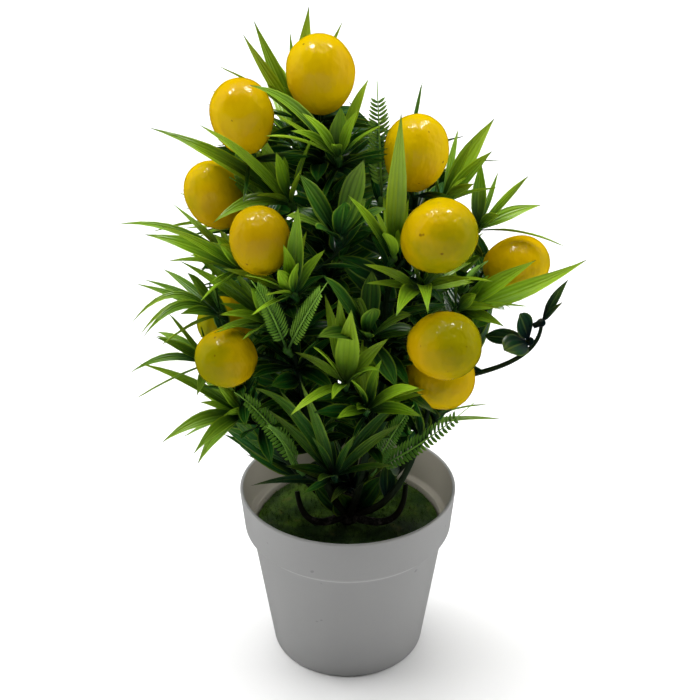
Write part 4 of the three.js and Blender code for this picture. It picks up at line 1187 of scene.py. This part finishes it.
class Foliage:
    """Places the leaves: first each one that its solid has, then more where there is room, then inner leaves
    where the crown still shows gaps."""

    def __init__(self, settings):
        self.settings = settings
        self.room = Room()
        self.finishes = leaf_finishes(settings)
        self.front = Look(0, FRONT_OUTLINE)

    def grow(self, draft, arcs, face, shape, width, owner, tone, spare):
        """Draws a new leaf along the first of the arcs that is clear and ends in the crown's outline."""
        for arc in arcs:
            inside = self.front.inside(*self.front.seen(arc.end), spare)
            if inside and self.room.clear(arc, face, shape, width, owner):
                self.room.take(arc, face, shape, width, owner)
                draft.leaf(arc, face, shape, width, tone)
                return True
        return False

    def fan(self, place, heading, seed, leaves, reach, lean=LEAN):
        """The leaves of a fan as the solids' rule draws them: of each, the arcs to try, and the width."""
        draws = series(seed)
        least, most = lean
        for i in range(leaves):
            angle = GOLDEN_TURN * i + 40 * next(draws)
            leans = least + (most - least) * (i + next(draws)) / leaves
            length = reach * (0.8 + 0.4 * next(draws))
            sag = 0.06 + 0.2 * next(draws)
            width = 0.8 + 0.4 * next(draws)
            tries = [(share * length, angle + turn) for share in SHORTER for turn in FAN_TURNS]
            yield [fan_arc(place, heading, way, leans, far, sag) for far, way in tries], width

    def spray(self, index, spray):
        """A spray: its knob, the leaves or fronds that show, and its fan."""
        place = Vector(spray.at)
        heading = heading_at(place)
        corners, _ = shell_of(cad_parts[node_of(spray)])
        draws = series(SPRAY_SEED + index)
        draft = Draft()
        draft.knob(place, heading, 0.2)
        for tip in spray.tips:
            arcs = [shown_arc(place, tip, nearer) for nearer in NEARER]
            arc = found_arc(corners, arcs) or arcs[0]
            if spray.finish == "fern":
                draft.frond(arc, FRONT_UP, self.settings.leaflets, next(draws))
            else:
                width = (*tip, 1)[4]
                draft.leaf(arc, FRONT_UP, SHAPES[spray.shape or "strap"], width, next(draws))
        if spray.more:
            self.fill(draft, spray, place, heading, index, corners, draws)
        finish = self.finishes[spray.look or spray.finish]
        draft.piece(f"{spray.name}_spray", finish, spray.finish, [node_of(spray)])

    def fill(self, draft, spray, place, heading, index, corners, draws):
        """The fan: the leaves that the solid has, and extra ones between them."""
        shape = SHAPES[spray.shape or "fan"]
        for arcs, width in self.fan(place, heading, index + 1, spray.more, spray.reach):
            arc = found_arc(corners, arcs)
            if arc:
                draft.leaf(arc, heading, shape, width, next(draws))
        extra = self.settings.extra_leaves
        for arcs, width in self.fan(place, heading, EXTRA_SEED + index, extra, spray.reach * 0.8):
            self.grow(draft, arcs, heading, shape, width, node_of(spray), next(draws), EXTRA_SPARE)

    def limb_leaves(self, index, limb):
        """Whorls of leaves up a limb, dark with painted shade, each on a sleeve, from a height that leaves the
        pot open.
        """
        arc = limb_arc(limb)
        draws = series(LIMB_SEED + index)
        draft = Draft()
        leaves = self.settings.whorl_leaves
        for k in range(self.settings.whorls):
            t = 0.2 + 0.78 * (k + 0.5 * next(draws)) / self.settings.whorls
            place, along = arc.at(t), arc.along(t)
            if place.z < WHORL_FLOOR:
                continue
            heading = (along + 0.4 * heading_at(place)).normalized()
            seed = WHORL_SEED + 20 * index + k
            grown = 0
            for arcs, width in self.fan(place, heading, seed, leaves, WHORL_REACH, WHORL_LEAN):
                tone = 0.3 * next(draws)
                grown += self.grow(
                    draft, arcs, heading, INNER_SHAPE, width, f"limb_{index}", tone, INNER_SPARE
                )
            if grown:
                draft.knob(place, along, 0.1)
        if draft.faces:
            draft.piece(f"limb_spray_{index + 1}", self.finishes["inner"], "deep")

    def cups(self):
        """The broad leaves round the trunk's foot, each bulging towards the front."""
        draft = Draft()
        for k, (root, tip, width) in enumerate(CUPS):
            root, tip = Vector(root), Vector(tip)
            arc = Arc(root, (root + tip) / 2 + CUP_BULGE * (tip - root).length * TO_EYE, tip)
            self.room.take(arc, FRONT_UP, INNER_SHAPE, width, "inner")
            draft.leaf(arc, FRONT_UP, INNER_SHAPE, width, 0.15 * k)
        draft.piece("foot_cup_spray", self.finishes["deep"], "dusk")

    # The inner finish that these leaves get by default is painted shade: a darker copy of the deep leaves.
    def inner_leaves(self, name, look, twigs, finish="inner", slot="deep", through=(), depths=DEPTHS):
        """Dark leaves inside the crown, each from a near place on a limb or twig through a gap that shows.
        through names the pieces that don't fill a gap, and depths are how far behind the upright plane a leaf
        may fill it."""
        roots = [arc.at(i / 8) for arc in twigs for i in range(1, 8)]
        roots += [limb_arc(limb).at(0.04 + 0.032 * i) for limb in LIMBS for i in range(31)]
        face = (0.9 * look.level + 0.435 * UP).normalized()
        trees = [BVHTree.FromPolygons(*shell_of(piece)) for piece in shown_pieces() if piece.name not in through]
        draft = Draft()
        draws = series(len(name))
        for _ in range(INNER_ROUNDS):
            found = trees + [BVHTree.FromPolygons(draft.points, draft.faces)] if draft.faces else trees
            look.covered.clear()
            for cell, gap in list(look.gaps(found)):
                if cell in look.covered:
                    continue
                arc, width = self.inner_arc(look, gap, face, roots, depths)
                if arc:
                    self.room.take(arc, face, INNER_SHAPE, width, "inner")
                    draft.leaf(arc, face, INNER_SHAPE, width, 0.3 * next(draws), 7)
                    look.cover(arc, face, INNER_SHAPE.wide * width)
        draft.piece(name, self.finishes[finish], slot)

    def inner_arc(self, look, gap, face, roots, depths):
        """A clear arc from a near root through a gap, at the first depth that has one, and its width."""
        sight = (gap - look.eye).normalized()
        shortest, longest = INNER_LENGTH
        for width, past in INNER_WIDTHS:
            for depth in depths:
                target = gap + depth * sight

                def far(root):
                    return (root - target).length + 0.5 * max(0, root.z - target.z + 5)

                for root in sorted(roots, key=far)[:INNER_ROOTS]:
                    chord = target - root
                    if not shortest < chord.length < longest or chord.dot(sight) > INNER_BEFORE:
                        continue
                    tip = target + past * chord.normalized()
                    arc = Arc(root, (root + tip) / 2 + 0.05 * chord.length * UP, tip)
                    kept = all(each.inside(*each.seen(tip), INNER_SPARE) for each in (look, self.front))
                    if not kept or look.hides_lemon(arc):
                        continue
                    if self.room.clear(arc, face, INNER_SHAPE, width, "inner"):
                        return arc, width
        return None, None


def make_paper(name, corners, faces):
    """A piece of the stage, which the lemons' gloss doesn't show."""
    mesh = bpy.data.meshes.new(name)
    mesh.from_pydata(corners, [], faces)
    mesh.materials.append(bpy.data.materials.get("floor_paper") or floor_finish())
    paper = put(name, mesh)
    paper.visible_glossy = False
    paper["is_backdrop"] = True
    return paper


def make_floor():
    """A floor of white paper that reaches past the camera's view."""
    reach = 6.0
    corners = [(-reach, -reach, 0), (reach, -reach, 0), (reach, reach, 0), (-reach, reach, 0)]
    make_paper("floor", corners, [(0, 1, 2, 3)])


def make_backdrop():
    """Paper that slopes up all round, far behind the floor that shows. It lights nothing."""
    sides, foot, top, height = 96, 4.0, 10.0, 6.0
    rims = ((foot, 0), (top, height))
    corners = [(r * math.cos(a), r * math.sin(a), z) for r, z in rims for a in all_round(sides)]
    faces = [(j, sides + j, sides + (j + 1) % sides, (j + 1) % sides) for j in range(sides)]
    backdrop = make_paper("backdrop", corners, faces)
    backdrop.data.polygons.foreach_set("use_smooth", [True] * sides)
    backdrop.visible_diffuse = backdrop.visible_shadow = False


def make_light(name, strength, width, place, gloss=False):
    """A light as wide as an angle, that shines from a place towards the middle of the tree. It lights the
    surfaces, or it only shows in their gloss."""
    data = bpy.data.lights.new(name, "SUN")
    data.energy, data.angle = strength, width
    light = put(name, data)
    light.location = place
    light.rotation_euler = (Vector(LIT_PLACE) - Vector(place)).to_track_quat("-Z", "Y").to_euler()
    light.visible_glossy, light.visible_diffuse = gloss, not gloss


def make_lights(settings):
    """A broad soft light from above and one from each side, and two small lamps that only make highlights."""
    soft, small = settings.softness, settings.lamp_width
    make_light("overhead", settings.overhead, soft, (-0.15, 0.3, 1.6))
    make_light("lamp_right", settings.lamp, small, (0.45, 0.2, 1.4), gloss=True)
    make_light("lamp_left", 0.7 * settings.lamp, small, (-0.5, 0.1, 1.4), gloss=True)
    make_light("left_light", 1.25 * settings.sides, soft, (-1.1, 0.3, 0.45))
    make_light("right_light", 1.35 * settings.sides, soft, (1.1, 0.3, 0.45))


def make_camera(settings):
    """The camera before the tree, a little above it."""
    data = bpy.data.cameras.new("camera")
    data.lens, data.sensor_width = settings.lens, 36
    camera = put("camera", data)
    level = settings.distance * math.cos(settings.elevation)
    camera.location = Vector(AIM) + Vector((0, -level, settings.distance * math.sin(settings.elevation)))
    camera.rotation_euler = (math.pi / 2 - settings.elevation, 0, 0)
    bpy.context.scene.camera = camera


def make_world(strength):
    """Faint even light from all round, which the gloss doesn't show."""
    world = bpy.data.worlds.new("studio")
    world.use_nodes = True
    background = world.node_tree.nodes["Background"]
    background.inputs["Color"].default_value = (1, 1, 1, 1)
    background.inputs["Strength"].default_value = strength
    world.cycles_visibility.glossy = False
    bpy.context.scene.world = world


# ---- Operators ----


class PotOperator(bpy.types.Operator):
    """Makes the moulded pot and gives the filler inside it its finish"""

    bl_idname = "lemon_tree.pot"
    bl_label = "Pot and Filler"

    def execute(self, context):
        make_pot(context.scene.lemon_tree_pot)
        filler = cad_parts["filler"]
        filler.data.materials.clear()
        filler.data.materials.append(filler_finish())
        return {"FINISHED"}


class MossOperator(bpy.types.Operator):
    """Makes the mat of moss round the stem's foot"""

    bl_idname = "lemon_tree.moss"
    bl_label = "Moss"

    def execute(self, context):
        make_moss(context.scene.lemon_tree_pot)
        return {"FINISHED"}


class StemOperator(bpy.types.Operator):
    """Makes the stem with its limbs, prongs and twigs"""

    bl_idname = "lemon_tree.stem"
    bl_label = "Stem"

    def execute(self, context):
        make_stem()
        return {"FINISHED"}


class LemonOperator(bpy.types.Operator):
    """Makes the lemons on the twigs' ends"""

    bl_idname = "lemon_tree.lemons"
    bl_label = "Lemons"

    def execute(self, context):
        finish = lemon_finish(context.scene.lemon_tree_fruit)
        for i, lemon in enumerate(LEMONS):
            make_lemon(i, lemon, finish)
        return {"FINISHED"}


class FoliageOperator(bpy.types.Operator):
    """Makes the sprays, the fronds and the small leaves along the limbs"""

    bl_idname = "lemon_tree.foliage"
    bl_label = "Foliage"

    def execute(self, context):
        foliage = Foliage(context.scene.lemon_tree_foliage)
        for index, spray in enumerate(ALL_SPRAYS):
            foliage.spray(index, spray)
        twigs = twig_arcs()
        bare = ("moulded_stem", "moss_mat", "moulded_pot")
        foot = Look(0, FOOT_OUTLINE)
        foliage.cups()
        foliage.inner_leaves("inner_spray_foot", foot, twigs, "dusk", "dusk", bare, FOOT_DEPTHS)
        foliage.inner_leaves("inner_spray_front", foliage.front, twigs)
        for index, limb in enumerate(LIMBS):
            if not limb.start:
                foliage.limb_leaves(index, limb)
        for name, azimuth in (("back", 180), ("left", 270), ("right", 90)):
            foliage.inner_leaves(f"inner_spray_{name}", Look(azimuth, SIDE_OUTLINE), twigs)
        return {"FINISHED"}


class StageOperator(bpy.types.Operator):
    """Makes the floor, the backdrop, the lights and the camera"""

    bl_idname = "lemon_tree.stage"
    bl_label = "Stage"

    def execute(self, context):
        settings = context.scene.lemon_tree_stage
        make_floor()
        make_backdrop()
        make_world(settings.fill)
        make_lights(settings)
        make_camera(settings)
        context.scene.view_settings.view_transform = "Standard"
        return {"FINISHED"}


class LemonTreePanel(bpy.types.Panel):
    """Lists the pieces of the tree and what can be changed in them"""

    bl_idname = "VIEW3D_PT_lemon_tree"
    bl_label = "Lemon Tree"
    bl_space_type = "VIEW_3D"
    bl_region_type = "UI"
    bl_category = "Lemon Tree"

    def draw(self, context):
        for operator in OPERATORS:
            self.layout.operator(operator.bl_idname)
        for name in SETTINGS:
            box = self.layout.box()
            settings = getattr(context.scene, name)
            for key in settings.__annotations__:
                box.prop(settings, key)


SETTINGS = {
    "lemon_tree_foliage": FoliageSettings,
    "lemon_tree_fruit": FruitSettings,
    "lemon_tree_pot": PotSettings,
    "lemon_tree_stage": StageSettings,
}
OPERATORS = [StageOperator, PotOperator, MossOperator, StemOperator, LemonOperator, FoliageOperator]


def register():
    for group in SETTINGS.values():
        bpy.utils.register_class(group)
    for operator in OPERATORS:
        bpy.utils.register_class(operator)
    bpy.utils.register_class(LemonTreePanel)
    for name, group in SETTINGS.items():
        setattr(bpy.types.Scene, name, PointerProperty(type=group))


def unregister():
    for name in SETTINGS:
        delattr(bpy.types.Scene, name)
    for cls in [LemonTreePanel, *OPERATORS, *SETTINGS.values()]:
        bpy.utils.unregister_class(cls)


def main():
    register()
    for operator in OPERATORS:
        group, action = operator.bl_idname.split(".")
        getattr(getattr(bpy.ops, group), action)()


if __name__ == "__main__":
    main()
